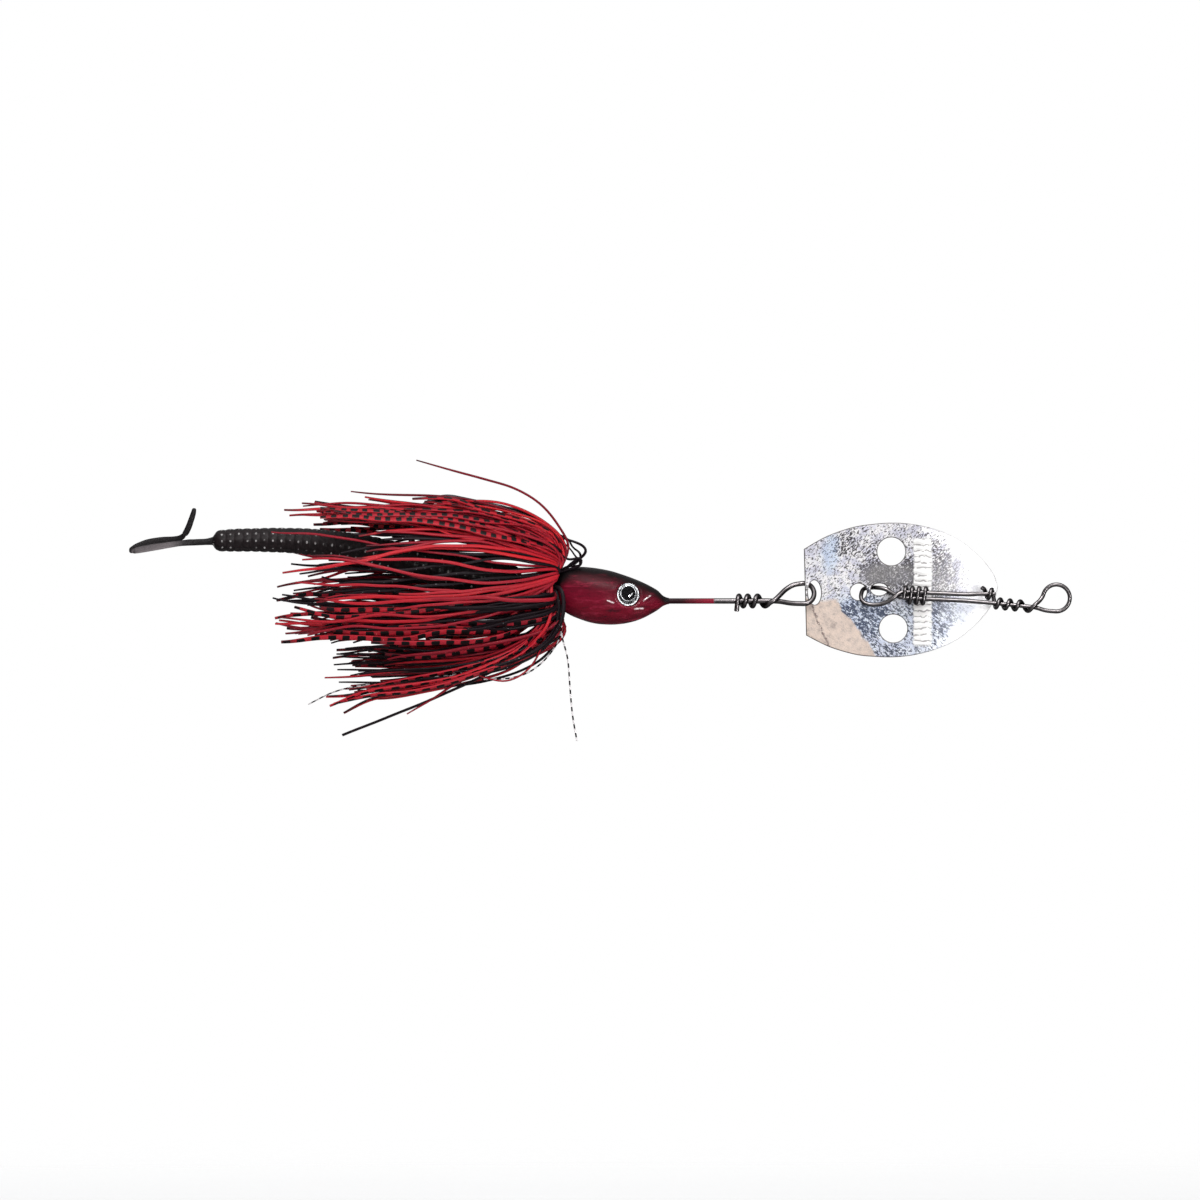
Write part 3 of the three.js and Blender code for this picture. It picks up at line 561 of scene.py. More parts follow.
def blade_material():
    g = material("polished_blade_sheet")
    place = g.place()
    x, _, z = g.split(place)
    # coordinates pushed about by up to 1.8 mm, for ragged patch outlines
    rag_x = x + g.noise(place, scale=0.30).scaled(3.6, -1.8)
    rag_z = z + g.noise(g.vector(z, x, 7.0), scale=0.30).scaled(3.6, -1.8)

    def patch(centre_x, centre_z, radius_x, radius_z, soft):
        """1 inside a soft ellipse."""
        across, up = (rag_x - centre_x) / radius_x, (rag_z - centre_z) / radius_z
        return (across**2.0 + up**2.0).sqrt().fall(1 - soft, 1 + soft)

    def strokes(turn, scale, seed):
        """Noise stretched along a slant."""
        slanted = g.mapping(g.vector(x, seed, z), Rotation=(0, turn, 0))
        slanted = g.mapping(slanted, Scale=(1.0, 1.0, 2.4))
        return g.noise(slanted, scale=scale, rough=0.62, distortion=0.5)

    # warm corner at the lower rear, cut off by a slanting line
    warm = (rag_x + z * 0.72).fall(34.2, 34.9) * rag_z.fall(-0.4, 0.9)
    # how thickly each area is covered with short dark strokes
    cover = 0.45
    for *spot, amount in STROKE_PATCHES:
        cover = cover + patch(*spot) * amount
    # the strokes fade out towards the front edge and the two front corners
    fade = rag_x.rise(56.0, 68.0)
    fade = fade.max((rag_x + rag_z * -0.9).rise(60.5, 66.0) * rag_x.rise(46.5, 50.0))
    fade = fade.max((rag_x + rag_z * 1.1).rise(66.0, 73.0) * rag_z.rise(4.0, 8.0))
    cover = cover * (1.0 - fade)

    lower = rag_z.fall(-1.0, 1.5)
    upper_strokes = strokes(turn=0.75, scale=1.55, seed=0.0)
    lower_strokes = strokes(turn=-0.65, scale=1.5, seed=5.0)
    grain = upper_strokes * (1.0 - lower) + lower_strokes * lower
    speck = g.noise(place, scale=3.6, rough=0.6)
    mark = grain * 0.62 + speck * 0.38
    threshold = 0.36 + cover * 0.21
    ink = (mark - threshold).fall(-0.03, 0.03) * (1.0 - rag_x.rise(54.0, 60.0) * 0.5)

    grey = patch(44.6, 5.4, 4.6, 2.0, soft=0.6).max(patch(54.6, 4.4, 2.2, 3.0, soft=0.7) * 0.6)
    bluish = patch(33.2, 9.8, 1.6, 4.2, soft=0.6) * 0.95
    bluish = bluish.max(patch(39.0, -3.0, 7.0, 5.0, soft=0.4) * 0.8)
    bluish = bluish.max(lower * 0.55)
    dark = g.mix(bluish, (0.060, 0.054, 0.060), (0.075, 0.098, 0.165))
    wash = g.noise(place, scale=0.55).rise(0.42, 0.62)
    light = g.mix(wash, (0.88, 0.86, 0.875), (0.66, 0.65, 0.74))
    light = g.mix(bluish * 0.5, light, (0.44, 0.60, 0.82))
    grey_sheet = g.ramp(
        speck, (0.4, (0.20, 0.195, 0.195)), (0.5, (0.34, 0.33, 0.33)), (0.6, (0.62, 0.6, 0.6))
    )
    light = g.mix(grey * 0.85, light, grey_sheet)
    light = g.mix(fade, light, (1.0, 0.99, 0.99))
    colour = g.mix(ink * (1.0 - grey * 0.45), light, dark)
    colour = g.mix(warm, colour, blade_warm_sheet(g, place, x, z, mark, speck))

    band, ripple, line = blade_wave_band(g, x, z)
    colour = g.mix(band, colour, (0.99, 0.975, 0.965))
    colour = g.mix(line * 0.7, colour, (0.18, 0.16, 0.16))
    # painted shade: the rim goes dark where the sheet turns away, most at the rear
    rim = g.attribute("rim").rise(0.2, 0.8).max(g.facing(blend=0.3).rise(0.3, 0.6))
    colour = g.mix(rim * x.fall(44.0, 58.0).scaled(0.8, 0.12), colour, (0.06, 0.048, 0.045))
    bump = g.bump(mark, distance=0.00012, strength=0.5)
    return g.surface(
        Base_Color=colour,
        Metallic=fade.scaled(-0.15, 0.3),
        Roughness=mark.scaled(0.35, 0.2),
        Normal=g.bump(band * ripple, distance=0.0003, strength=0.6, Normal=bump),
    )


# ------------------------------------------------------------------ head and eye materials
def head_material():
    g = material("candy_red_head_paint")
    place = g.place()
    x = g.split(place)[0]
    streak_place = g.mapping(place, Rotation=(0, 0.35, 0), Scale=(0.22, 0.5, 0.9))
    streak = g.noise(streak_place, scale=1.3, detail=5, rough=0.62, distortion=0.6)
    colour = g.ramp(
        g.attribute("up").scaled(0.5, 0.5),
        (0.0, (0.065, 0.001, 0.008)),
        (0.22, (0.150, 0.003, 0.014)),
        (0.45, (0.158, 0.004, 0.018)),
        (0.68, (0.085, 0.004, 0.012)),
        (1.0, (0.020, 0.003, 0.005)),
    )
    # streaks in the paint; the lighter ones are also a painted sheen standing in for soft highlights
    colour = g.mix(streak.rise(0.5, 0.72), colour, (0.25, 0.013, 0.037))
    colour = g.mix(streak.fall(0.26, 0.46), colour, (0.05, 0.006, 0.012))
    # black sprayed back, deepest at the rear
    depth = g.attribute("dtop") + g.noise(place, scale=0.33).scaled(-1.3, 0.65)
    depth = depth - x.fall(-21.5, -17.5) * 1.6
    colour = g.mix(depth.fall(0.45, 2.5), colour, (0.009, 0.007, 0.0075))
    colour = g.mix(x.fall(-21.8, -20.6), colour, (0.012, 0.008, 0.009))
    # fine flakes in the paint
    flake = g.cells(place, scale=7.5).fall(0.1, 0.2)
    spark = flake * g.noise(place, scale=5.0, detail=2).rise(0.5, 0.62)
    colour = g.mix(spark * 0.3, colour, (0.42, 0.1, 0.13))
    # painted shade: the colour darkens where the head turns away from view
    colour = g.mix(g.facing().rise(0.55, 0.95) * 0.85, colour, (0.012, 0.004, 0.006))
    ridge = g.attribute("ridge")
    # painted highlight: a pale streak along each crease's crest stands in for a glint
    worn = g.attribute("worn") * g.noise(place, scale=2.6, detail=2).rise(0.36, 0.48)
    colour = g.mix(worn, colour, (0.85, 0.72, 0.74))
    bump = g.bump(streak, distance=0.00008, strength=0.5)
    coat = g.noise(place, scale=0.7, detail=2)
    return g.surface(
        Base_Color=colour,
        Metallic=spark.scaled(0.5, 0.05),
        Roughness=streak.scaled(0.25, 0.24),
        Coat_Weight=ridge.scaled(0.96, 0.04),
        Coat_Roughness=ridge.scaled(-0.2, 0.26),
        Specular_IOR_Level=0.1,
        Normal=g.bump(g.noise(place, scale=2.4), distance=0.00004, strength=0.5, Normal=bump),
        Coat_Normal=g.bump(coat, distance=0.0002, strength=0.35),
    )


def foil_material():
    g = material("eye_foil_print")
    print_radius = 2.4
    radius = g.attribute("rad")
    place = g.place()
    grain = g.noise(place, scale=7.0, detail=4)
    silver = g.mix(grain.rise(0.35, 0.6), (0.8, 0.8, 0.81), (1.0, 1.0, 1.0))
    # the pupil and its ring sit a little above the middle; the ring fades low on the nose side
    pupil_radius = g.attribute("pupil_rad")
    inner = g.ramp(
        pupil_radius / print_radius,
        (0.0, 0.0), (0.60, 0.0), (0.615, 0.85), (0.665, 0.9), (0.685, 0.02),
    )
    inner = inner * g.attribute("low").rise(0.7, 1.2).scaled(-0.75, 1.0)
    outer = g.ramp(
        radius / print_radius, (0.0, 0.0), (0.81, 0.01), (0.83, 0.9), (0.91, 0.95), (0.93, 0.0)
    )
    ring = inner.max(outer)
    # the printed rings are broken here and there
    ring = ring * g.noise(place, scale=1.6, detail=2).rise(0.36, 0.46).scaled(0.65, 0.35)
    stray = g.noise(place, scale=3.2, detail=2).rise(0.60, 0.64)
    ring = ring.max(stray * (radius.rise(1.45, 1.6) * 0.35))
    pupil = pupil_radius.fall(1.40, 1.45)
    colour = g.mix(ring, (0.012, 0.012, 0.014), silver)
    colour = g.mix(pupil, colour, (0.005, 0.004, 0.005))
    # a painted highlight: a short bright dash across the pupil stands in for the dome's reflection
    x, _, z = g.split(place)
    ahead, up = x + 6.5, z - 1.34
    along = abs(ahead * 0.625 + up * 0.781)
    across = abs(up * 0.625 - ahead * 0.781)
    dash = along.fall(0.24, 0.36) * across.fall(0.07, 0.13)
    return g.surface(
        Base_Color=g.mix(dash, colour, (0.9, 0.9, 0.9)),
        Metallic=(1.0 - pupil) * 0.15,
        Specular_IOR_Level=pupil.scaled(-0.1, 0.1),
        Roughness=grain.scaled(0.15, 0.2),
        Normal=g.bump(grain, distance=0.00003, strength=0.5),
    )


def lens_material():
    g = material("eye_lens_epoxy")
    sway = g.noise(g.place(), scale=0.9, detail=2)
    normal = g.bump(sway, distance=0.00004, strength=0.2)
    clear = g.node("ShaderNodeBsdfTransparent", Color=(0.97, 0.975, 0.98))
    gloss = g.node(
        "ShaderNodeBsdfGlossy", Color=(1, 1, 1), Roughness=sway.scaled(0.04, 0.015), Normal=normal
    )
    fresnel = g.value("ShaderNodeFresnel", IOR=1.5, Normal=normal)
    # only the outer face reflects
    back = g.value("ShaderNodeNewGeometry", output="Backfacing")
    return g.finish(g.node("ShaderNodeMixShader", fresnel * back.scaled(-0.8, 0.8), clear, gloss))


# ------------------------------------------------------------------ soft materials
def strand_red(g, tone, streak, small):
    red = g.ramp(
        tone * 0.75 + streak * 0.25,
        (0.1, (0.12, 0.004, 0.014)),
        (0.45, (0.31, 0.008, 0.023)),
        (0.75, (0.56, 0.014, 0.026)),
        (1.0, (0.80, 0.03, 0.034)),
    )
    return g.mix(small * 0.35, red, (0.24, 0.004, 0.010))


def strand_bars(g, along, v, tone, small):
    """Dark rounded bars, printed unevenly along both faces."""
    jitter = g.noise(g.vector(along * 0.35, 0.0, tone), scale=1.0, detail=2).scaled(1.5, -0.75)
    from_middle = ((along + jitter) / 3.0).fract() - 0.5
    across = (v * 2.0).fract() / 0.25 - 0.5
    offset = g.noise(g.vector(along * 0.33, 9.0, tone), scale=1.0, detail=1).scaled(1.0, -0.5)
    edge = abs(from_middle / 0.28) ** 2.6 + abs((across + offset) / 0.92) ** 3.0
    return (edge + small.scaled(1.2, -0.6)).fall(0.8, 1.15)


def strand_material(name, kind):
    g = material(name)
    u, v = g.uv()
    tone = g.attribute("tone")
    # every strand's tone shifts its pattern, so that no two match
    along = u + tone * 97.0
    where = g.vector(along, v * 3.0, tone * 31.0)
    small = g.noise(where, scale=2.2, detail=4)
    inputs = {}
    if kind == "tinsel":
        phase = (along / 1.75).fract()
        dash = phase.rise(0.0, 0.08) * phase.fall(0.5, 0.6)
        colour = g.mix(dash, (0.80, 0.76, 0.77), (0.008, 0.006, 0.007))
        metallic = 0.25 - dash * 0.2
    else:
        streak = g.noise(g.vector(along * 0.12, v * 0.8, tone * 31.0), scale=1.0)
        spark = g.cells(g.vector(along, v * 2.6, tone), scale=1.7).fall(0.10, 0.16)
        spark = spark * g.noise(where, scale=0.9, detail=1).rise(0.5, 0.6)
    if kind == "black":
        dark = g.ramp(streak, (0.3, (0.006, 0.0035, 0.005)), (0.7, (0.016, 0.009, 0.013)))
        colour = g.mix(spark * 0.8, dark, (0.42, 0.40, 0.42))
        metallic = spark * 0.8
    if kind in ("red", "barred"):
        metallic = 0.0
        colour = strand_red(g, tone, streak, small)
        if kind == "barred":
            bars = strand_bars(g, along, v, tone, small)
            ground = g.mix(0.3, colour, (0.44, 0.010, 0.024))
            colour = g.mix(bars, ground, (0.005, 0.0035, 0.0042))
        # tips are dark, some more than others
        dipped = (tone * 37.7).fract().rise(0.35, 0.55).scaled(0.6, 0.12)
        tip = g.attribute("tip").fall(0.6, 5.0)
        colour = g.mix(tip * dipped, colour, (0.014, 0.005, 0.008))
        colour = g.mix(spark * 0.35, colour, (0.9, 0.35, 0.3))
        inputs = dict(
            Subsurface_Weight=0.12,
            Subsurface_Radius=(0.0009, 0.0002, 0.0002),
            Subsurface_Scale=1.0,
        )
    # painted shade: each strand darkens where it turns away, for tube shading
    return g.surface(
        Base_Color=g.mix(g.facing().rise(0.32, 0.8) * 0.8, colour, (0.02, 0.004, 0.006)),
        Metallic=metallic,
        Roughness=small.scaled(0.3, 0.28),
        Specular_IOR_Level=0.24 if kind in ("red", "barred") else 0.14,
        Normal=g.bump(small, distance=0.00006, strength=0.5),
        **inputs,
    )


def worm_material():
    g = material("worm_soft_plastic")
    u, v = g.uv()
    where = g.vector(u, v * 16.0, 0.0)
    mottle = g.noise(where, scale=1.2, detail=4)
    grain = g.noise(where, scale=5.0)
    # painted highlights: small pale spots on the knobs of the ribs stand in for glints
    along = abs((u / WORM_PITCH).fract() - 0.42)
    around = abs(v.scaled(float(WORM_LOBES), 0.09).fract() - 0.5)
    spot = ((along * 1.7) ** 2.0 + (around * 1.1) ** 2.0).sqrt().fall(0.10, 0.24)
    spot = spot * g.noise(where, scale=0.75, detail=2).rise(0.42, 0.60)
    spot = spot * (1.0 - g.attribute("tone"))
    body = g.ramp(mottle, (0.3, (0.007, 0.0045, 0.005)), (0.7, (0.019, 0.0125, 0.014)))
    facing = g.facing()
    lit = g.attribute("lit") * facing.fall(0.15, 0.6)
    body = g.mix(g.attribute("tone"), body, (0.014, 0.012, 0.013))
    body = g.mix(lit, body, g.mix(mottle, (0.10, 0.088, 0.092), (0.22, 0.19, 0.20)))
    # painted shade: the body darkens where it turns away
    body = g.mix(facing.rise(0.4, 0.85), body, (0.004, 0.0035, 0.004))
    return g.surface(
        Base_Color=g.mix(spot * 0.8, body, (0.50, 0.48, 0.48)),
        Roughness=grain.scaled(0.3, 0.25),
        Specular_IOR_Level=0.3,
        Normal=g.bump(grain, distance=0.0001, strength=0.7),
    )


def band_material():
    g = material("band_rubber")
    mottle = g.noise(g.place(), scale=3.0, detail=4)
    return g.surface(
        Base_Color=g.ramp(mottle, (0.3, (0.008, 0.008, 0.008)), (0.7, (0.03, 0.029, 0.028))),
        Roughness=mottle.scaled(0.3, 0.45),
        Normal=g.bump(mottle, distance=0.0001, strength=0.6),
    )


MATERIALS = {
    "steel": steel_wire(),
    "nose": nose_wire_material(),
    "hook": hook_material(),
    "blade": blade_material(),
    "head": head_material(),
    "red": strand_material("silicone_red_strand", "red"),
    "barred": strand_material("silicone_barred_strand", "barred"),
    "black": strand_material("silicone_black_strand", "black"),
    "tinsel": strand_material("tinsel_film", "tinsel"),
    "worm": worm_material(),
    "band": band_material(),
    "foil": foil_material(),
    "lens": lens_material(),
}

# ------------------------------------------------------------------ head
BACK = [-row[0] for row in HEAD]
head_top, head_bottom, head_width = (pchip(BACK, [row[i] for row in HEAD]) for i in (1, 2, 3))
# Stations along the head: from and to (mm behind the nose), count.
HEAD_RUNS = [(-1.0, 1.6, 22), (1.6, 12.4, 110), (12.4, 19.0, 30), (19.0, 22.4, 28), (22.4, 27.4, 30)]
HEAD_SIDES = 264


def head_at(x):
    """Centre height, half height and half width of the head."""
    top, bottom = head_top(-x), head_bottom(-x)
    return (top + bottom) / 2, (top - bottom) / 2, head_width(-x)


def head_side(x, z):
    """Half width of the head at a height."""
    centre, tall, wide = head_at(x)
    return wide * math.sqrt(max(0.05, 1 - ((z - centre) / tall) ** 2))


def crease_place(x, z, crease):
    """How far points lie along and across a crease."""
    crease_x, crease_z, turn = crease[:3]
    c, s = math.cos(turn * DEG), math.sin(turn * DEG)
    along = (x - crease_x) * c + (z - crease_z) * s
    across = -(x - crease_x) * s + (z - crease_z) * c + 0.05 * along**2
    return along, across


def crease_relief(x, z, crease):
    """A low ridge, steep on its upper side, whose face leans by CREASE_LEAN."""
    crease_x, crease_z, turn, reach, _ = crease
    c, s = math.cos(turn * DEG), math.sin(turn * DEG)
    centre, tall, wide = head_at(crease_x)
    side = head_side(crease_x, crease_z)
    lean_z = (crease_z - centre) / tall**2 / (side / wide**2)
    lean_x = -(head_side(crease_x + 0.2, crease_z) - side) / 0.2
    wanted = (-s * CREASE_LEAN[0] + c * CREASE_LEAN[1]) - (-s * lean_x + c * lean_z)
    along, across = crease_place(x, z, crease)
    ends = np.clip((reach + 0.35 - np.abs(along)) / 0.35, 0, 1)
    above, below = 1 - np.clip(across / 0.30, 0, 1), 1 - np.clip(-across / 0.55, 0, 1)
    return max(0.03, wanted * 0.30) * np.where(across > 0, above, below) * ends


def head_verts():
    stations = -np.unique(np.concatenate([np.linspace(*run) for run in HEAD_RUNS]))
    turn = 2 * PI * np.arange(HEAD_SIDES) / HEAD_SIDES
    turn = turn - 0.25 * np.sin(2 * turn)
    centre, tall, wide = head_at(stations)
    x = np.repeat(stations, HEAD_SIDES)
    y = np.outer(wide, np.cos(turn)).ravel()
    z = (centre[:, None] + np.outer(tall, np.sin(turn))).ravel()
    # relief on each cheek: creases, a bead round the eye and a faint mouth line
    relief = np.zeros(len(x))
    for crease in CREASES:
        relief += crease_relief(x, z, crease)
    from_eye = np.hypot(x - EYE[0], z - EYE[2])
    relief += 0.07 * np.exp(-(((from_eye - 2.85) / 0.3) ** 2))
    mouth_z = -0.2 + 0.20 * x + 0.012 * x**2
    mouth = 0.1 * np.exp(-(((z - mouth_z) / 0.17) ** 2))
    relief -= mouth * np.clip((x + 3.6) / 1.0, 0, 1) * np.clip((-0.35 - x) / 0.4, 0, 1)
    relief *= np.abs(y) > 0.3
    centre, tall, wide = head_at(x)
    out = np.stack([np.zeros(len(x)), y / wide**2, (z - centre) / tall**2], 1)
    out /= np.linalg.norm(out, axis=1)[:, None] + 1e-9
    return len(stations), np.stack([x, y, z], 1) + out * relief[:, None]


def eye_place(side):
    """Maps an eye's own x forward, y outward, z up to the lure; side is -1 right, 1 left."""
    c, s = math.cos(EYE_YAW * DEG), math.sin(EYE_YAW * DEG)

    def place(x, y, z):
        # turned towards the nose; the right eye is the left one rolled half a turn about x
        ahead, out = x * c + y * s, -x * s + y * c
        if side < 0:
            out, z = -out, -z
        return np.array([EYE[0] + ahead, side * EYE[1] + out, EYE[2] + z])

    return place


def cut_socket(head, side):
    height = 3.0
    bm = bmesh.new()
    bmesh.ops.create_cone(
        bm, cap_ends=True, segments=72, radius1=2.42, radius2=2.5, depth=height
    )
    mesh = bpy.data.meshes.new("socket")
    bm.to_mesh(mesh)
    bm.free()
    cutter = add_object("socket", mesh)
    place = eye_place(side)
    for vert in mesh.vertices:
        x, y, z = vert.co
        vert.co = Vector(to_row(place(x, z + height / 2 - SOCKET_DEPTH, -y)))
    cut = head.modifiers.new("socket", "BOOLEAN")
    cut.operation, cut.solver, cut.object = "DIFFERENCE", "EXACT", cutter
    bpy.context.view_layer.update()
    evaluated = head.evaluated_get(bpy.context.evaluated_depsgraph_get())
    carved = bpy.data.meshes.new_from_object(evaluated)
    head.modifiers.clear()
    head.data = carved
    bpy.data.objects.remove(cutter)


def set_head_attributes(mesh):
    flat = np.zeros(len(mesh.vertices) * 3, np.float32)
    mesh.vertices.foreach_get("co", flat)
    x, _, z = (flat.reshape(-1, 3) * 1000 + SEAT).T
    centre, tall, _ = head_at(x)
    ridge, worn = np.zeros(len(x)), np.zeros(len(x))
    for crease in CREASES:
        reach = crease[4]
        near = 1.9 - np.hypot(x - crease[0], z - crease[1]) / 0.8
        ridge = np.maximum(ridge, np.clip(near, 0, 1))
        # a painted highlight: a pale streak along each crease's crest
        along, across = crease_place(x, z, crease)
        line = np.clip(1.5 - np.abs(across - 0.12) / 0.12, 0, 1)
        worn = np.maximum(worn, line * np.clip((reach + 0.3 - np.abs(along)) / 0.3, 0, 1))
    set_attribute(mesh, "dtop", centre + tall - z)
    set_attribute(mesh, "up", np.clip((z - centre) / tall, -1, 1))
    set_attribute(mesh, "ridge", ridge)
    set_attribute(mesh, "worn", worn)


def build_head():
    rings, verts = head_verts()
    faces = ring_faces(rings, HEAD_SIDES)
    faces.append(tuple(range(HEAD_SIDES))[::-1])
    faces.append(tuple((rings - 1) * HEAD_SIDES + j for j in range(HEAD_SIDES)))
    head = make_object("head_body", verts, faces, MATERIALS["head"], 38)
    for side in (-1, 1):
        cut_socket(head, side)
    mesh = head.data
    mesh.materials.clear()
    mesh.materials.append(MATERIALS["head"])
    shade_smooth(mesh)
    mesh.set_sharp_from_angle(angle=math.radians(38))
    set_head_attributes(mesh)
    register(head, "head", "head_casting")


# ------------------------------------------------------------------ eyes
def build_foil(side, tag):
    """A thin disc with rings of vertices, so that the print is measured from the centre."""
    rings, radius = 16, 2.3
    local, faces = [], []
    for y in (FOIL_BASE + FOIL_THICKNESS, FOIL_BASE):
        local.append((0, y, 0))
        for i in range(1, rings + 1):
            local += [(x, y, z) for x, z in ellipse(radius * i / rings, EYE_SEGMENTS)]
    layer = 1 + rings * EYE_SEGMENTS
    for centre in (0, layer):
        for j in range(EYE_SEGMENTS):
            j2 = (j + 1) % EYE_SEGMENTS
            faces.append((centre, centre + 1 + j, centre + 1 + j2))
            for i in range(rings - 1):
                near = centre + 1 + i * EYE_SEGMENTS
                far = near + EYE_SEGMENTS
                faces.append((near + j, far + j, far + j2, near + j2))
    edge = 1 + (rings - 1) * EYE_SEGMENTS
    for j in range(EYE_SEGMENTS):
        j2 = (j + 1) % EYE_SEGMENTS
        faces.append((edge + j, edge + j2, layer + edge + j2, layer + edge + j))
    place = eye_place(side)
    x, _, z = np.array(local).T
    attributes = {
        "rad": np.hypot(x, z),
        "pupil_rad": np.hypot(x - 0.04, side * z - 0.26),
        "low": 0.707 * (x - side * z),
    }
    verts = [place(*point) for point in local]
    o = make_object(
        f"eye_foil_disc_{tag}", verts, faces, MATERIALS["foil"], 40, attributes=attributes
    )
    register(o, "head", f"eye_foil_{tag}")


def build_lens(side, tag):
    """A low clear dome with a rolled edge."""
    base = FOIL_BASE + FOIL_THICKNESS + 0.03
    radius, wall, dome = 2.34, 0.18, 0.80
    profile = [(2.26, 0.0), (2.33, 0.07), (radius, wall)]
    for angle in np.linspace(0, PI / 2, 20)[1:-1]:
        profile.append((radius * math.cos(angle), wall + dome * math.sin(angle)))
    place = eye_place(side)
    verts = []
    for r, y in profile:
        verts += [place(x, base + y, z) for x, z in ellipse(r, EYE_SEGMENTS)]
    bottom, apex = len(verts), len(verts) + 1
    verts += [place(0, base, 0), place(0, base + wall + dome, 0)]
    faces = ring_faces(len(profile), EYE_SEGMENTS)
    last = (len(profile) - 1) * EYE_SEGMENTS
    for j in range(EYE_SEGMENTS):
        j2 = (j + 1) % EYE_SEGMENTS
        faces += [(bottom, j2, j), (last + j, last + j2, apex)]
    o = make_object(f"eye_dome_{tag}", verts, faces, MATERIALS["lens"], 60)
    register(o, "head", f"eye_lens_{tag}")


def build_eyes():
    for side, tag in ((-1, "right"), (1, "left")):
        build_foil(side, tag)
        build_lens(side, tag)


# ------------------------------------------------------------------ wires
def helix(axis, radius, start, end, x_at):
    """A wrap about axis(x) from start to end degrees, 30 points a turn."""
    count = max(2, int(math.ceil(abs(end - start) / 360 * 30)))
    out = []
    for i in range(count + 1):
        angle = start + (end - start) * i / count
        x = float(x_at(angle))
        y, z = axis(x)
        out.append([x, y - radius * math.cos(angle * DEG), z - radius * math.sin(angle * DEG)])
    return out


def build_nose_wire():
    """Anchored in the head, out along the axis, round a tilted eye and wrapped back on itself."""
    radius = 0.5
    wrap = 2 * radius + WRAP_GAP
    tilt = 35 * DEG
    eye_x, eye_z, eye_reach, eye_half = 27.98, 1.5, 2.05, 2.5
    eye = []
    for i in range(31):
        angle = (-90 + i * 6) * DEG
        up = eye_half * math.sin(angle)
        x = eye_x + eye_reach * math.cos(angle)
        eye.append([x, up * math.sin(tilt), eye_z + up * math.cos(tilt)])
    wrap_x = pchip(
        [20, 90, 270, 450, 630, 810, 990, 1080],
        [21.1, 20.2, 18.7, 17.7, 16.75, 15.85, 15.0, 14.7],
    )
    coil = helix(lambda x: (0, 0), wrap, 20, 1075, wrap_x)
    anchor = [
        [-8.5, -1.32, 0.5], [-9.5, -1.28, 0.55], [-10.35, -0.8, 0.5], [-10.6, 0, 0.5],
        [-10.35, 0.8, 0.5], [-9.5, 1.28, 0.5], [-8.3, 1.26, 0.4], [-6.6, 0.6, 0.12], [-5, 0, 0],
    ]
    to_eye = [[21.6, 0, 0], [23.2, -0.35, -0.1], [25.4, -1.12, -0.45], eye[0]]
    to_coil = [
        eye[-1], [25.9, 1.25, 3.2], [24.3, 0.65, 2.25], [23.1, -0.35, 1.1],
        [22.0, -1.0, 0.1], coil[0],
    ]
    path = join(
        curve(anchor, 0.3),
        [[1, 0, 0], [14, 0, 0], [20.6, 0, 0]],
        curve(to_eye, 0.3),
        eye,
        curve(to_coil, 0.3),
        coil,
        [[14.6, -wrap, -1.0], [14.5, -wrap, -2.0]],
    )
    path = fine(path, step=0.16, passes=5)
    # lacquer and plating make the straight run a little thicker than the eye
    turn = int(np.argmax(path[:, 0] > 20.4))
    thick = np.interp(np.arange(len(path)), [turn, turn + 10], [1.1, 1.0])
    tube = Tubes().sweep(path, ellipse(radius, 18), scale=thick, cap=0.25)
    o = tube.make("nose_wire_drawn", MATERIALS["nose"])
    register(o, "head", "nose_wire")


# The tow link's two legs: x, z.
low_leg = straight_table([(47.8, 0.62), (53.6, 0.36), (60.2, 0.04), (66, -0.42), (74.2, -1.25)])
high_leg = straight_table(
    [(47.8, 1.86), (53.2, 1.62), (60.2, 1.3), (61.6, 1.32), (63, 1.44), (66.2, 1.44)]
)
LINK_RADIUS = 0.425


def legs(leg, xs):
    return [[x, LINK_Y, float(leg(x))] for x in xs]


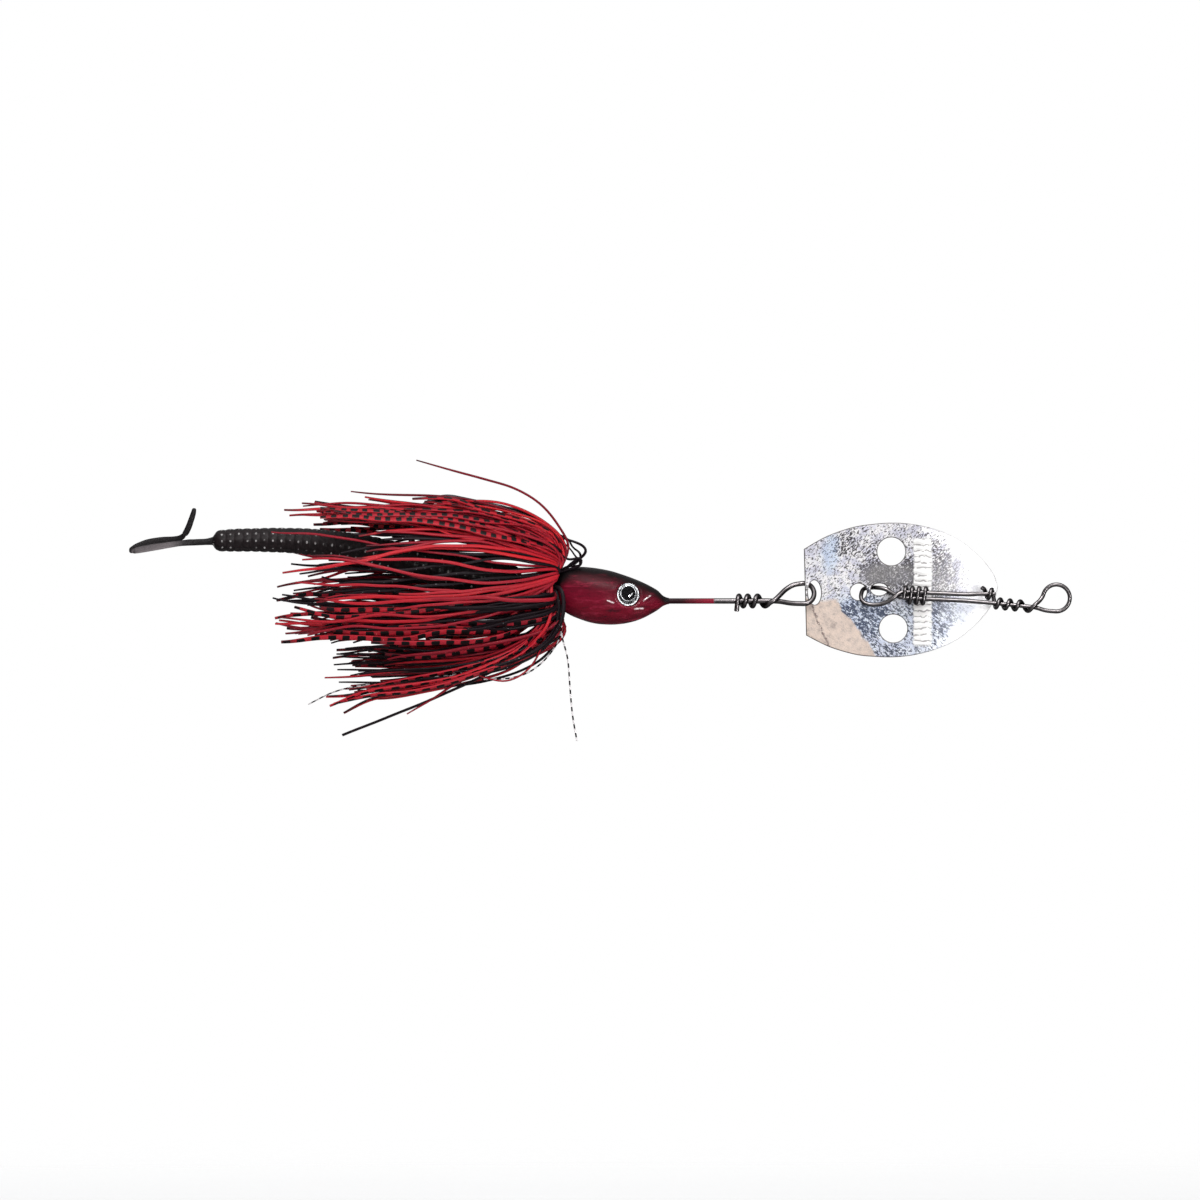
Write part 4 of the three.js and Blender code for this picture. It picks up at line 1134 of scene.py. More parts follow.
def build_tow_link():
    wrap = 2 * LINK_RADIUS + WRAP_GAP
    loop_x, loop_z, loop_radius = 78.4, 0.6, 2.7
    tie_x = pchip(
        [20, 90, 270, 450, 630, 810, 990, 1170, 1230],
        [73.4, 72.7, 71.2, 70.1, 69.15, 68.15, 67.2, 66.3, 66.15],
    )
    tie_wrap = helix(lambda x: (LINK_Y, float(low_leg(x))), wrap, 20, 1230, tie_x)
    lock_x = pchip([270, 450, 630], [65.55, 64.75, 63.95])
    lock_wrap = helix(lambda x: (LINK_Y, 1.44), wrap, 250, 630, lock_x)
    loop = []
    for angle in np.linspace(172, -92, 60) * DEG:
        up = loop_radius * math.sin(angle)
        loop.append([loop_x + loop_radius * math.cos(angle), LINK_Y, loop_z + up])
    lock_to_tie = [
        lock_wrap[0], [65.8, LINK_Y + 1.12, 1.1], [66.0, LINK_Y + 1.02, 0.1], tie_wrap[-1],
    ]
    tie_to_loop = [tie_wrap[0], [74.2, LINK_Y - 0.86, -0.65], [75.0, LINK_Y - 0.45, 0.0], loop[0]]
    loop_to_leg = [loop[-1], [76.3, LINK_Y, -1.9], [74.2, LINK_Y, -1.3], *legs(low_leg, [72.6])]
    # the rear bend, which crosses over itself
    rear_bend = [
        *legs(low_leg, [48.6]), [47.4, -1.8, 0.72], [46.4, -1.5, 1.1], [45.4, -1.4, 1.75],
        [44.3, -1.32, 2.35], [43.3, -1.12, 2.6], [42.45, -0.55, 2.68], [42.18, 0.2, 2.7],
        [41.75, 0.98, 2.7], [40.95, 1.28, 2.66], [40.15, 0.98, 2.52], [39.72, 0.25, 2.15],
        [39.46, -0.5, 1.5], [39.36, -1.2, 0.8], [39.6, -1.7, 0.02], [40.5, -1.95, -0.55],
        [42.2, -2.05, -0.75], [44.1, -2.3, -0.4], [45.6, -2.5, 0.45], [46.6, -2.35, 1.25],
        [47.5, -2.07, 1.78], *legs(high_leg, [48.6]),
    ]
    path = join(
        [[63.45, LINK_Y - 0.15, 2.72]],
        lock_wrap[::-1],
        curve(lock_to_tie, 0.3),
        tie_wrap[::-1],
        curve(tie_to_loop, 0.3),
        loop,
        curve(loop_to_leg, 0.3),
        legs(low_leg, [70, 66, 60.2, 53.6, 50]),
        curve(rear_bend, 0.25),
        legs(high_leg, [50, 53.2, 60.2, 61.6, 63, 66.2]),
    )
    tube = Tubes().sweep(fine(path, step=0.15, passes=5), ellipse(LINK_RADIUS, 16), cap=0.25)
    o = tube.make("tow_link_drawn", MATERIALS["steel"])
    register(o, "tow_link", "tow_link")


def oval_point(travel, radius, straight):
    """(y, z) after some travel round an upright oval, starting up its right side."""
    half = straight / 2
    bend = PI * radius
    if travel < straight:
        return -radius, -half + travel
    if travel - straight < bend:
        angle = (travel - straight) / radius
        return -radius * math.cos(angle), half + radius * math.sin(angle)
    if travel - straight - bend < straight:
        return radius, half - (travel - straight - bend)
    angle = (travel - 2 * straight - bend) / radius
    return radius * math.cos(angle), -half - radius * math.sin(angle)


def build_keeper():
    """An oval coil round both legs of the tow link."""
    wire, turns, start, end = 0.4, 3.5, 47.9, 52.6
    straight = 2 * (float(high_leg(50) - low_leg(50)) / 2 + 0.045)
    radius = LINK_RADIUS + wire + 0.12
    loop = 2 * straight + 2 * PI * radius
    count = int(turns * 44)
    path = []
    for i in range(count + 1):
        x = start + (end - start) * i / count
        y, z = oval_point(((i / count * turns) % 1) * loop, radius, straight)
        path.append([x, LINK_Y + y, float(low_leg(x) + high_leg(x)) / 2 + z])
    tube = Tubes().sweep(fine(path, step=0.14, passes=4), ellipse(wire, 14), cap=0.2)
    o = tube.make("keeper_coil_drawn", MATERIALS["steel"])
    register(o, "keeper_coil", "keeper_coil")


# ------------------------------------------------------------------ hook and band
def shank_axes():
    """Rearward along the hook shank, and square above it."""
    back = np.array([-1, 0, SHANK_SLOPE])
    back /= np.linalg.norm(back)
    return back, np.array([back[2], 0, -back[0]])


def build_hook():
    back, up = shank_axes()
    shank_end = np.array([-44.5, 0, 6.18])
    eye_x, eye_radius = -10.45, 1.55
    bend_radius, point_length = 7.3, 14.2
    eye_centre = np.array([eye_x, 0, shank_end[2] - (eye_x - shank_end[0]) * SHANK_SLOPE])
    heading = math.atan2(back[2], back[0])
    eye = []
    for angle in np.linspace(38, 334, 40) * DEG + heading:
        eye.append(eye_centre + eye_radius * np.array([math.cos(angle), 0, math.sin(angle)]))
    centre = shank_end + up * bend_radius
    bend = []
    for angle in np.linspace(0, 184, 60) * DEG:
        across, along = bend_radius * math.cos(angle), bend_radius * math.sin(angle)
        bend.append(centre - up * across + back * along)
    last = bend[-1]
    out = last - bend[-2]
    out /= np.linalg.norm(out)
    point = [last + out * point_length * share for share in (0.25, 0.5, 0.72, 0.88, 1)]
    shank = [eye_centre + back * (eye_radius + 1.3), shank_end - back * 2]
    path = fine(join(eye, shank, bend, point), step=0.35, passes=3)
    length = arc_length(path)
    scale = np.clip((length[-1] - length) / 4.6, 0.03, 1) ** 0.75
    tubes = Tubes().sweep(path, ellipse(0.65, 20), scale=scale, cap=0.2)
    # the barb, lifted from the inside of the point
    inward = -(up - out * (up @ out))
    inward /= np.linalg.norm(inward)
    foot = last + out * point_length * 0.64 + inward * 0.35
    barb = [foot + out * 2.6, foot + out * 1.6 + inward * 0.16]
    barb += [foot + out * 0.6 + inward * 0.42, foot + inward * 0.78]
    barb = curve(barb, 0.2)
    tubes.sweep(barb, ellipse(0.3, 10, deep=0.22), scale=np.linspace(1, 0.22, len(barb)), cap=0.2)
    o = tubes.make("hook_forged", MATERIALS["hook"])
    register(o, "head", "hook")


def build_band():
    """The rubber band round the skirt's collar."""
    centre = np.array([-24.0, 0, 2.35 + 2.4 * SHANK_SLOPE])
    back, up = shank_axes()
    segments, half, radius, inner = 72, 1.1, 3.2, 2.3
    # profile: along the axis, radius
    profile = []
    for share in np.linspace(-1, 1, 25):
        profile.append((half * share, radius - 0.35 * share**6 + 0.05 * math.cos(share * 22)))
    profile += [(half, inner), (-half, inner)]
    size = len(profile)
    verts, faces = [], []
    for j in range(segments):
        angle = 2 * PI * j / segments
        out = np.array([0, 1, 0]) * math.cos(angle) + up * math.sin(angle)
        wobble = 1 + 0.012 * math.sin(5 * angle) + 0.008 * math.sin(11 * angle + 1)
        for along, r in profile:
            verts.append(centre + back * along + out * (r * wobble if r > 2.5 else r))
    for j in range(segments):
        near, far = j * size, (j + 1) % segments * size
        for i in range(size):
            i2 = (i + 1) % size
            faces.append((near + i, far + i, far + i2, near + i2))
    o = make_object("skirt_band_rubber", verts, faces, MATERIALS["band"])
    register(o, "head", "skirt_band")


# ------------------------------------------------------------------ blade
# Upper outline: mm ahead of the rear edge, half height. The lower half mirrors it.
BLADE = [
    (0, 8.65), (2.5, 10.05), (5, 11.25), (10, 12.8), (14, 13.3), (17.5, 13.45), (21, 13.2),
    (25, 12.35), (29, 10.9), (32, 9.1), (34.8, 6.7), (37, 4.2), (38.3, 2.0), (38.8, 0.0),
]
# Holes in the sheet: x, z, x radius, z radius.
BLADE_HOLES = [
    (17.46, 7.71, 2.8, 2.8), (17.46, -7.71, 2.8, 2.8), (1.9, -0.1, 1.31, 2.45),
    (10.7, -0.2, 1.65, 1.65), (14.86, 0.18, 1.7, 1.2),
]
BLADE_PLACE = (28.2, 1.75)  # x of the rear edge, z of the middle
BLADE_TILT = 1.5 * DEG
HALF_SHEET = 0.4
SHEET_BEVEL = 0.22
FOLD_X, FOLD_REACH, FOLD_ANGLE = 24.2, 0.6, 9 * DEG


def flat_blade():
    """The bevelled sheet as a bmesh lying in xy, cut into strips so that it can bend."""
    upper = curve([[x, z, 0] for x, z in BLADE], 0.5)[:, :2]
    outline = [tuple(q) for q in upper] + [(x, -z) for x, z in upper[::-1][1:]]
    loops = [outline]
    loops += [ellipse(wide, 64, tall, centre=(x, z)) for x, z, wide, tall in BLADE_HOLES]
    sheet = bpy.data.curves.new("blade_outline", "CURVE")
    sheet.dimensions, sheet.fill_mode = "2D", "BOTH"
    sheet.extrude, sheet.offset = HALF_SHEET - SHEET_BEVEL, -SHEET_BEVEL
    sheet.bevel_depth, sheet.bevel_resolution = SHEET_BEVEL, 2
    for loop in loops:
        spline = sheet.splines.new("POLY")
        spline.points.add(len(loop) - 1)
        for point, (x, z) in zip(spline.points, loop):
            point.co = (x, z, 0, 1)
        spline.use_cyclic_u = True
    holder = add_object("blade_tmp", sheet)
    bpy.context.view_layer.update()
    evaluated = holder.evaluated_get(bpy.context.evaluated_depsgraph_get())
    mesh = bpy.data.meshes.new_from_object(evaluated)
    bpy.data.objects.remove(holder)
    bm = bmesh.new()
    bm.from_mesh(mesh)
    bmesh.ops.remove_doubles(bm, verts=bm.verts, dist=0.002)
    # closer cuts across the fold
    runs = [np.arange(1.2, 23.4, 1.2), np.arange(23.4, 25.1, 0.2), np.arange(25.6, 38.4, 1.2)]
    cuts = [((x, 0, 0), (1, 0, 0)) for x in np.concatenate(runs)]
    cuts += [((0, z, 0), (0, 1, 0)) for z in np.arange(-12.6, 12.7, 1.2)]
    for place, normal in cuts:
        everything = bm.verts[:] + bm.edges[:] + bm.faces[:]
        bmesh.ops.bisect_plane(
            bm, geom=everything, dist=0.0005, plane_co=Vector(place), plane_no=normal
        )
    bmesh.ops.remove_doubles(bm, verts=bm.verts, dist=0.002)
    bmesh.ops.recalc_face_normals(bm, faces=bm.faces)
    return bm


def fold(x, y):
    """Bends the front of the sheet to the left over a short radius."""
    start = FOLD_X - FOLD_REACH
    if x <= start:
        return x, y
    angle = FOLD_ANGLE * min(1.0, (x - start) / (2 * FOLD_REACH))
    length = x - FOLD_X
    if length > FOLD_REACH:
        bent_x, bent_y = FOLD_X + length * math.cos(FOLD_ANGLE), length * math.sin(FOLD_ANGLE)
    else:
        bent_x, bent_y = x, FOLD_ANGLE * (x - start) ** 2 / (4 * FOLD_REACH)
    return bent_x - y * math.sin(angle), bent_y + y * math.cos(angle)


def build_blade():
    bm = flat_blade()
    rim = []
    for vert in bm.verts:
        x, z, y = vert.co.x, vert.co.y, -vert.co.z
        rim.append(1.0 if abs(y) < HALF_SHEET - 0.02 else 0.0)
        # the sheet has a slight hand-hammered unevenness
        dents = math.sin(0.55 * x + 1.3) * math.sin(0.42 * z + 0.4)
        dents += 0.6 * math.sin(0.23 * x * 1.7 - 0.31 * z)
        x, y = fold(x, y)
        y += 0.035 * dents * min(1.0, max(0.0, (x - 1.5) / 4))
        ahead = x * math.cos(BLADE_TILT) - z * math.sin(BLADE_TILT)
        up = x * math.sin(BLADE_TILT) + z * math.cos(BLADE_TILT)
        vert.co = Vector(to_row((BLADE_PLACE[0] + ahead, y, BLADE_PLACE[1] + up)))
    bmesh.ops.recalc_face_normals(bm, faces=bm.faces)
    mesh = bpy.data.meshes.new("blade_sheet")
    bm.to_mesh(mesh)
    bm.free()
    mesh.materials.clear()
    mesh.materials.append(MATERIALS["blade"])
    shade_smooth(mesh)
    mesh.set_sharp_from_angle(angle=math.radians(32))
    set_attribute(mesh, "rim", rim)
    register(add_object("blade_sheet", mesh), "blade", "blade")


# ------------------------------------------------------------------ worm
# Body stations: x, z, radius.
WORM = [
    (-29.0, 3.5, 2.3), (-29.5, 3.58, 3.0), (-30.6, 3.76, 3.42), (-33.4, 4.26, 3.55),
    (-38, 5.05, 3.5), (-44, 6.2, 3.45), (-49, 7.4, 3.4), (-53, 8.45, 3.3), (-58, 9.75, 3.15),
    (-63, 10.8, 2.98), (-69, 11.65, 2.78), (-75, 12.1, 2.6), (-81, 12.2, 2.44),
    (-86, 12.15, 2.33), (-88.6, 12.05, 2.18), (-89.5, 12.0, 1.8), (-90.0, 12.0, 1.2),
]
WORM_BACK = [-row[0] for row in WORM]
# Tail stations from the stem to the upturned tip:
# x, y, z, half width, thickness as a share of width, lean in degrees.
TAIL = [
    (-89.2, 0.0, 12.0, 1.2, 1.0, 0), (-90.2, 0.0, 11.98, 0.85, 0.95, 0),
    (-91.4, 0.0, 11.85, 0.66, 0.9, 0), (-93.2, 0.0, 11.76, 0.64, 0.8, 0),
    (-95.2, -0.45, 11.68, 0.66, 0.5, 20), (-97.3, -0.95, 11.45, 0.66, 0.28, 34),
    (-99.6, -1.4, 11.12, 0.84, 0.19, 42), (-102.2, -1.55, 10.72, 0.98, 0.17, 44),
    (-104.6, -1.25, 10.3, 0.92, 0.18, 42), (-106.1, -0.6, 10.04, 0.55, 0.26, 30),
    (-106.75, 0.2, 10.02, 0.36, 0.6, 14), (-106.5, 1.0, 10.42, 0.46, 0.6, 4),
    (-105.2, 1.75, 11.05, 0.62, 0.4, 0), (-103.3, 2.2, 11.68, 0.70, 0.34, 0),
    (-100.4, 2.4, 12.16, 0.68, 0.34, 0), (-98.0, 2.15, 12.36, 0.60, 0.42, 0),
    (-96.6, 1.7, 12.72, 0.58, 0.62, 0), (-95.8, 1.35, 13.5, 0.62, 0.85, 0),
    (-95.2, 1.1, 14.6, 0.62, 0.95, 0), (-94.6, 0.9, 16.2, 0.58, 1.0, 0),
    (-94.15, 0.78, 17.6, 0.52, 1.0, 0), (-93.98, 0.74, 18.35, 0.42, 1.0, 0),
]


def build_worm_body():
    line = curve([[x, 0, z] for x, z, _ in WORM], 0.11)
    length = arc_length(line)
    # rounded ribs with narrow grooves between, each rib a ring of soft knobs
    phase = (length / WORM_PITCH) % 1.0
    groove = np.clip(np.abs(phase - 0.5) * 2, 0, 1) ** 2.6
    ends = np.clip((length - 1.5) / 2, 0, 1) * np.clip((length[-1] - 0.9 - length) / 1.2, 0, 1)
    radius = pchip(WORM_BACK, [row[2] for row in WORM])(-line[:, 0])
    radius = radius * (1 + 0.006 * np.sin(length * 0.9)) + 0.02
    sides = 60
    knob = np.cos(2 * PI * WORM_LOBES * (np.arange(sides) / sides - 0.041))
    drop = 0.2 * groove[:, None] + 0.06 * np.outer(1 - groove, 1 - knob)
    drop *= ends[:, None]
    up = np.tile([0.0, 0, 1], (len(line), 1))
    tube = Tubes().sweep(line, ellipse(1.0, sides), scale=radius, normal=up, cap=0.3)

    def press(rings):
        rings -= (rings - line[:, None]) / radius[:, None, None] * drop[:, :, None]

    tube.reshape_rings(len(line), press)
    o = tube.make("worm_ribbed_body", MATERIALS["worm"], 60)
    start, end = to_row((-48.5, 0, 7.3)), to_row((-58.5, 0, 9.9))
    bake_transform(o)
    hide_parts("worm_body", "worm_rear")


def build_worm_tail():
    """Stem, broad curled ribbon and upturned tip."""
    stations = curve(TAIL, 0.14)
    path, half, flat, lean = stations[:, :3], stations[:, 3], stations[:, 4], stations[:, 5]
    # the wide axis stands up, leaning over y, and lies along x where the path climbs
    wide = np.stack([np.zeros(len(path)), np.sin(lean * DEG), np.cos(lean * DEG)], 1)
    climb = np.abs(cross_axes(path)[0][:, 2]) > 0.75
    wide = relax(np.where(climb[:, None], np.array([1.0, 0, 0]), wide), 60)
    tube = Tubes().sweep(path, ellipse(1.0, 32), scale=half, normal=wide, tone=1.0, cap=0.6)
    _, across, through = cross_axes(path, wide)

    def thin(rings):
        # thinned across, with a rim left standing round a slightly dished face
        local = rings - path[:, None]
        out = (local * across[:, None]).sum(2)
        depth = (local * through[:, None]).sum(2)
        share = flat[:, None]
        dish = 1 - 0.35 * (1 - share) * np.maximum(0, 1 - (out / half[:, None]) ** 2)
        rings += (depth * (share * dish - 1))[:, :, None] * through[:, None]

    tube.reshape_rings(len(path), thin)
    o = tube.make("worm_curled_tail", MATERIALS["worm"], 60)
    x, y, _ = tube.verts.T
    lit = np.clip((-96.0 - x) / 3.0, 0, 1) * np.clip((-0.2 - y) / 0.5, 0, 1)
    set_attribute(o.data, "lit", lit)
    start, end = to_row((-90.0, 0, 12.0)), to_row((-92.4, 0, 11.85))
    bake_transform(o)
    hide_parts("worm_tail")


# ------------------------------------------------------------------ skirt
SKIRT_Z = 2.75
SKIRT_FLAT = 0.75  # the skirt's width as a share of its height
SKIRT_HUB = 3.0
FILL_SPAN = 17.2  # added to the hub radius at the tips of a full-size strand
THICKNESS = {"red": 0.42, "barred": 0.42, "black": 0.4, "tinsel": 0.12}
# The skirt's outer profile: x, radius.
OUTER = [
    (-22.2, 3.05), (-21.7, 4.5), (-20.5, 6.6), (-19.6, 8.6), (-20.4, 10.4), (-23.2, 12.4),
    (-27.5, 14.6), (-34, 17.0), (-44, 18.8), (-56, 19.8), (-72, 20.4),
]
TRAILING = 7  # the first profile row behind the bulge
OUT_LINE = curve([[x, r, 0] for x, r in OUTER], 0.5)
OUT_LENGTH = arc_length(OUT_LINE)

# Strands that show on the right side: kind, width, tone, then points (x, z).
SHOWN = [
    ("red", 0.42, 0.2, (-19, 10.45), (-21.2, 15.2), (-24.8, 19.45), (-29.8, 22.45),
     (-35.8, 24.3), (-42.8, 26.2), (-49.45, 28.1)),
    ("red", 0.95, 0.92, (-20.2, 8.2), (-22.55, 11.95), (-26.8, 14.95), (-32.8, 17.1),
     (-40.8, 18.45), (-50.8, 19.3), (-59.7, 20.8)),
    ("red", 0.8, 0.8, (-20.5, 7.8), (-24.3, 10.3), (-30.8, 12.8), (-36.8, 15.1),
     (-45.8, 17.6), (-52.8, 18.3), (-68.3, 18.4), (-75.7, 17.95)),
    ("red", 0.7, 0.75, (-20.8, 7.45), (-27.8, 10.1), (-35.8, 12.7), (-45.8, 14.1),
     (-53.8, 14.1), (-60.8, 13.1)),
    ("red", 0.75, 0.8, (-20.8, 7.1), (-26.55, 9.45), (-34.3, 10.8), (-42.8, 10.95),
     (-50.8, 10.1), (-59.3, 8.2), (-68.8, 6.7), (-75.9, 5.2)),
    ("red", 0.75, 0.9, (-20.8, 6.7), (-27.8, 8.7), (-37.8, 10.1), (-46.8, 10.4),
     (-54.8, 9.5), (-63.3, 8.2)),
    ("red", 0.7, 0.8, (-20.9, 6.2), (-30.3, 5.8), (-38.3, 6.8), (-45.8, 7.9),
     (-53.3, 8.4), (-61.8, 8.7)),
    ("red", 0.65, 0.7, (-20.9, 5.7), (-28.3, 4.2), (-35.8, 3.5), (-43.3, 4.2),
     (-50.8, 5.6), (-57.3, 7.1), (-62.3, 8), (-72, 8.5)),
    ("red", 0.75, 0.95, (-20.8, 5.3), (-26.55, 3.4), (-35.8, 1.9), (-45.8, 1),
     (-55.8, 0.6), (-63.8, 0.6), (-69.2, 0)),
    ("red", 0.7, 0.85, (-21, 4.95), (-26.55, 2.8), (-35.8, 1.1), (-45.8, 0.2),
     (-54.8, -0.3), (-62.8, -0.1), (-69.55, 0.6)),
    ("red", 0.75, 0.85, (-21.3, 4.6), (-26.55, 2.1), (-33.3, -0.7), (-40.8, -2.7),
     (-48.3, -3.8), (-58.3, -3.9), (-68.3, -4.3), (-77.4, -4.4)),
    ("red", 0.6, 0.7, (-21.4, 4.45), (-25.8, 1.9), (-30.8, -0.05), (-38.3, -2.05),
     (-45.8, -2.9), (-55.8, -2.9), (-65.8, -3.9), (-76.4, -3.5)),
    ("red", 0.85, 0.95, (-22.55, 3.2), (-22.4, -0.8), (-23.3, -4.8), (-26.3, -8.4),
     (-30.8, -11.4), (-36.8, -14), (-45.8, -16.3), (-54.8, -17.6), (-61.8, -18.2)),
    ("red", 0.5, 0.45, (-23.3, 2.8), (-23.3, -2.3), (-25.3, -6.55), (-28.8, -9.9),
     (-34.8, -13.2), (-41.3, -16.4), (-46.3, -19.7), (-51.3, -22.65)),
    ("red", 0.9, 0.9, (-20, 8.4), (-21.3, 13.2), (-24.8, 15.9), (-28.8, 17.3),
     (-33.3, 18.4), (-37.8, 19.1), (-43.8, 18.9)),
    ("red", 0.8, 0.82, (-19.6, 8.8), (-20.2, 12.2), (-23.05, 15.2), (-27.8, 18),
     (-32.8, 19.6), (-38.3, 19.95), (-45.8, 19.6)),
    ("red", 0.42, 0.05, (-19.5, 8.7), (-20.05, 11.2), (-24.8, 15.4), (-30.8, 18.2),
     (-36.8, 19.8), (-44.8, 20.8), (-54.3, 21.3), (-62.5, 21.8)),
    ("red", 0.5, 0.5, (-20, 7.95), (-23.3, 11.7), (-30.8, 15.2), (-38.3, 17.1),
     (-50.8, 18.6), (-63.3, 19.4), (-72, 19.1)),
    ("red", 0.55, 0.55, (-20.5, 7.6), (-25.8, 11.2), (-33.3, 13.7), (-40.8, 15.2),
     (-50.8, 15.7), (-59.8, 17.1), (-71.7, 16.9)),
    ("red", 0.75, 0.85, (-20.4, 7.1), (-24.8, 10.2), (-28.8, 11.8), (-32.8, 12.6),
     (-37.8, 12.4), (-42.8, 13.1), (-48.8, 15.4)),
    ("red", 0.5, 0.35, (-21, 6.5), (-27.8, 7.1), (-34.15, 7.8), (-41.8, 9), (-49.1, 10.05),
     (-55.8, 11.1), (-61, 11.95), (-69.8, 13.2), (-78.2, 13.8)),
    ("red", 0.6, 0.6, (-21.3, 4.95), (-27.8, 2.6), (-36.8, 2.2), (-45.8, 2.2),
     (-54.8, 2.8), (-64.3, 3.3), (-73.3, 3.5)),
    ("red", 0.55, 0.5, (-21.55, 4.2), (-26.8, 0.7), (-33.8, -2.3), (-42.8, -4.8),
     (-52.8, -5.6), (-61.8, -4.8), (-72.8, -6.9)),
    ("red", 0.7, 0.8, (-22.8, 2.95), (-22.8, -1.8), (-24.8, -5.8), (-28.3, -8.55),
     (-33.3, -10.4), (-40.8, -11.6), (-48.8, -12.2), (-55.8, -12.8)),
    ("red", 0.6, 0.6, (-22.9, 2.8), (-23.8, -2.3), (-26.3, -6.3), (-30.8, -9.3),
     (-37.8, -11.7), (-46.8, -13.4), (-55.8, -14.4), (-67.7, -15.4)),
    ("barred", 1.2, 0.72, (-21.3, 10.6), (-25.8, 14.2), (-31.8, 16.8), (-36.8, 18.45),
     (-40.8, 19.9), (-45.05, 20.4), (-50.2, 20.5)),
    ("barred", 1.25, 0.8, (-21.05, 9.8), (-25.8, 12.95), (-31.8, 14.3), (-38.3, 15.8),
     (-45.8, 16.6), (-55.8, 17.6), (-63.3, 18.2), (-68.5, 18.3)),
    ("barred", 1.25, 0.7, (-21.3, 9.2), (-28.05, 11.8), (-35.8, 13.4), (-41.8, 14.8),
     (-48.8, 15.8), (-55.8, 16.3), (-61.8, 16.9), (-68.5, 17.1)),
    ("barred", 1.1, 0.75, (-22.3, 12.7), (-27.8, 15.7), (-34.3, 17.7), (-38.3, 18.8),
     (-42.3, 19.5)),
    ("barred", 1.1, 0.6, (-23.3, 13.7), (-28.8, 15.2), (-35.8, 15.95), (-42.8, 17.1),
     (-49.8, 17.1), (-56.8, 17.1), (-65.8, 17.6)),
    ("barred", 1.25, 0.8, (-22.3, 3.2), (-25.8, 1.1), (-30.8, 0.7), (-38.3, -0.1),
     (-45.8, -1.5), (-53.3, -1.9), (-60.8, -1.8), (-68.3, -1.4)),
    ("barred", 1.2, 0.72, (-22.4, 2.2), (-25.3, -0.3), (-30.8, -3.6), (-38.3, -5.6),
     (-45.8, -6.2), (-53.3, -6.5), (-60.8, -6.3), (-66.7, -5.7)),
    ("barred", 1.2, 0.65, (-22.4, 1.2), (-24.8, -2.3), (-28.8, -5.05), (-35.8, -6),
     (-42.8, -6.2), (-50.8, -7.3), (-59.3, -7.4), (-67.8, -7.4), (-76.2, -8.2)),
    ("barred", 1.15, 0.7, (-22.8, 0.2), (-24.3, -4.3), (-26.3, -8.3), (-30.8, -12.3),
     (-38.3, -15.05), (-45.8, -17), (-53.3, -18.4), (-59.3, -19.1), (-65.8, -20.2)),
    ("barred", 1.2, 0.75, (-23.3, -0.3), (-25.3, -5.8), (-28.8, -9.6), (-35.8, -13.2),
     (-42.8, -15.5), (-48.8, -16.5), (-54.8, -17.4), (-60.8, -18.6), (-66.6, -20.9)),
    ("barred", 1.15, 0.8, (-22.9, 0.7), (-24.55, -4.3), (-27.8, -8.7), (-32.8, -12),
     (-39.8, -14.8), (-46.3, -16.1), (-52.8, -17), (-59.3, -17.7)),
    ("barred", 1.1, 0.7, (-22.9, 2.2), (-25.8, -0.1), (-28.8, -2.1), (-33.3, -4.6),
     (-39.8, -5.4), (-45.8, -5.1), (-52.8, -4.9)),
    ("barred", 1.1, 0.6, (-22.8, 0.7), (-25.55, -2.8), (-29.8, -5.8), (-35.8, -7.8),
     (-42.8, -8.3), (-50.8, -8.2), (-58.3, -8.6)),
    ("barred", 1.0, 0.6, (-24.8, -0.3), (-29.8, 0.2), (-35.8, 0.7), (-41.8, -0.7),
     (-48.8, -2.2), (-56.8, -2.8), (-64.3, -3), (-73.55, -1.6)),
    ("black", 0.85, 0.4, (-23.3, -4.8), (-27.3, -9.8), (-31.8, -12.9), (-37.8, -15.8),
     (-43.8, -18.4), (-51.3, -21.55), (-56.8, -23.9), (-64.2, -26.8)),
    ("black", 0.75, 0.4, (-21, 6.7), (-26.3, 7.6), (-32.8, 8.7), (-40.8, 7.3),
     (-50.8, 6.3), (-59.8, 6.5), (-68.3, 5.9), (-72.55, 5.45)),
    ("black", 0.75, 0.4, (-21.2, 5.7), (-26.8, 6.2), (-35.8, 5.7), (-43.8, 4.95),
     (-52.8, 4.2), (-61.8, 3.7), (-70.3, 2.2), (-73.7, 1.8)),
    ("black", 0.75, 0.4, (-21.3, 5.2), (-26.8, 4.95), (-35.8, 4.45), (-43.8, 3.2),
     (-52.8, 2.2), (-61.8, 1.7), (-68.8, 0.2), (-76, 1.1)),
    ("black", 0.7, 0.4, (-21.3, 4.2), (-25.8, 2.95), (-33.8, 0.7), (-42.8, -0.8),
     (-52.8, -1.2), (-60.8, -0.9), (-68.8, -0.4), (-77.2, 0)),
    ("black", 0.7, 0.4, (-21.3, 2.2), (-22.8, -1.8), (-26.3, -5.8), (-32.8, -8.8),
     (-40.8, -9.8), (-48.8, -9.8), (-56.8, -9.3), (-63.55, -9.6)),
    ("black", 0.7, 0.4, (-20.8, 0.2), (-22.3, -4.3), (-25.8, -8.3), (-31.8, -10.9),
     (-39.8, -12.1), (-48.8, -12.4), (-57.8, -12.4), (-65.9, -12.7)),
    ("black", 0.7, 0.4, (-20.55, -0.8), (-21.55, -4.8), (-24.3, -8.8), (-29.8, -11.9),
     (-36.8, -13.2), (-45.8, -13.8), (-56.8, -13.8), (-65.2, -13.7)),
    ("black", 0.7, 0.4, (-20.4, -1.8), (-21.3, -5.8), (-24.3, -9.8), (-30.8, -13.2),
     (-37.8, -14.8), (-46.8, -15.7), (-55.8, -16.3), (-64.9, -16.2)),
    ("black", 0.7, 0.4, (-20.8, 0.2), (-22.8, -4.8), (-26.8, -8.8), (-33.8, -11.6),
     (-41.8, -11.7), (-50.8, -11.3), (-57.3, -10.8), (-65.3, -11)),
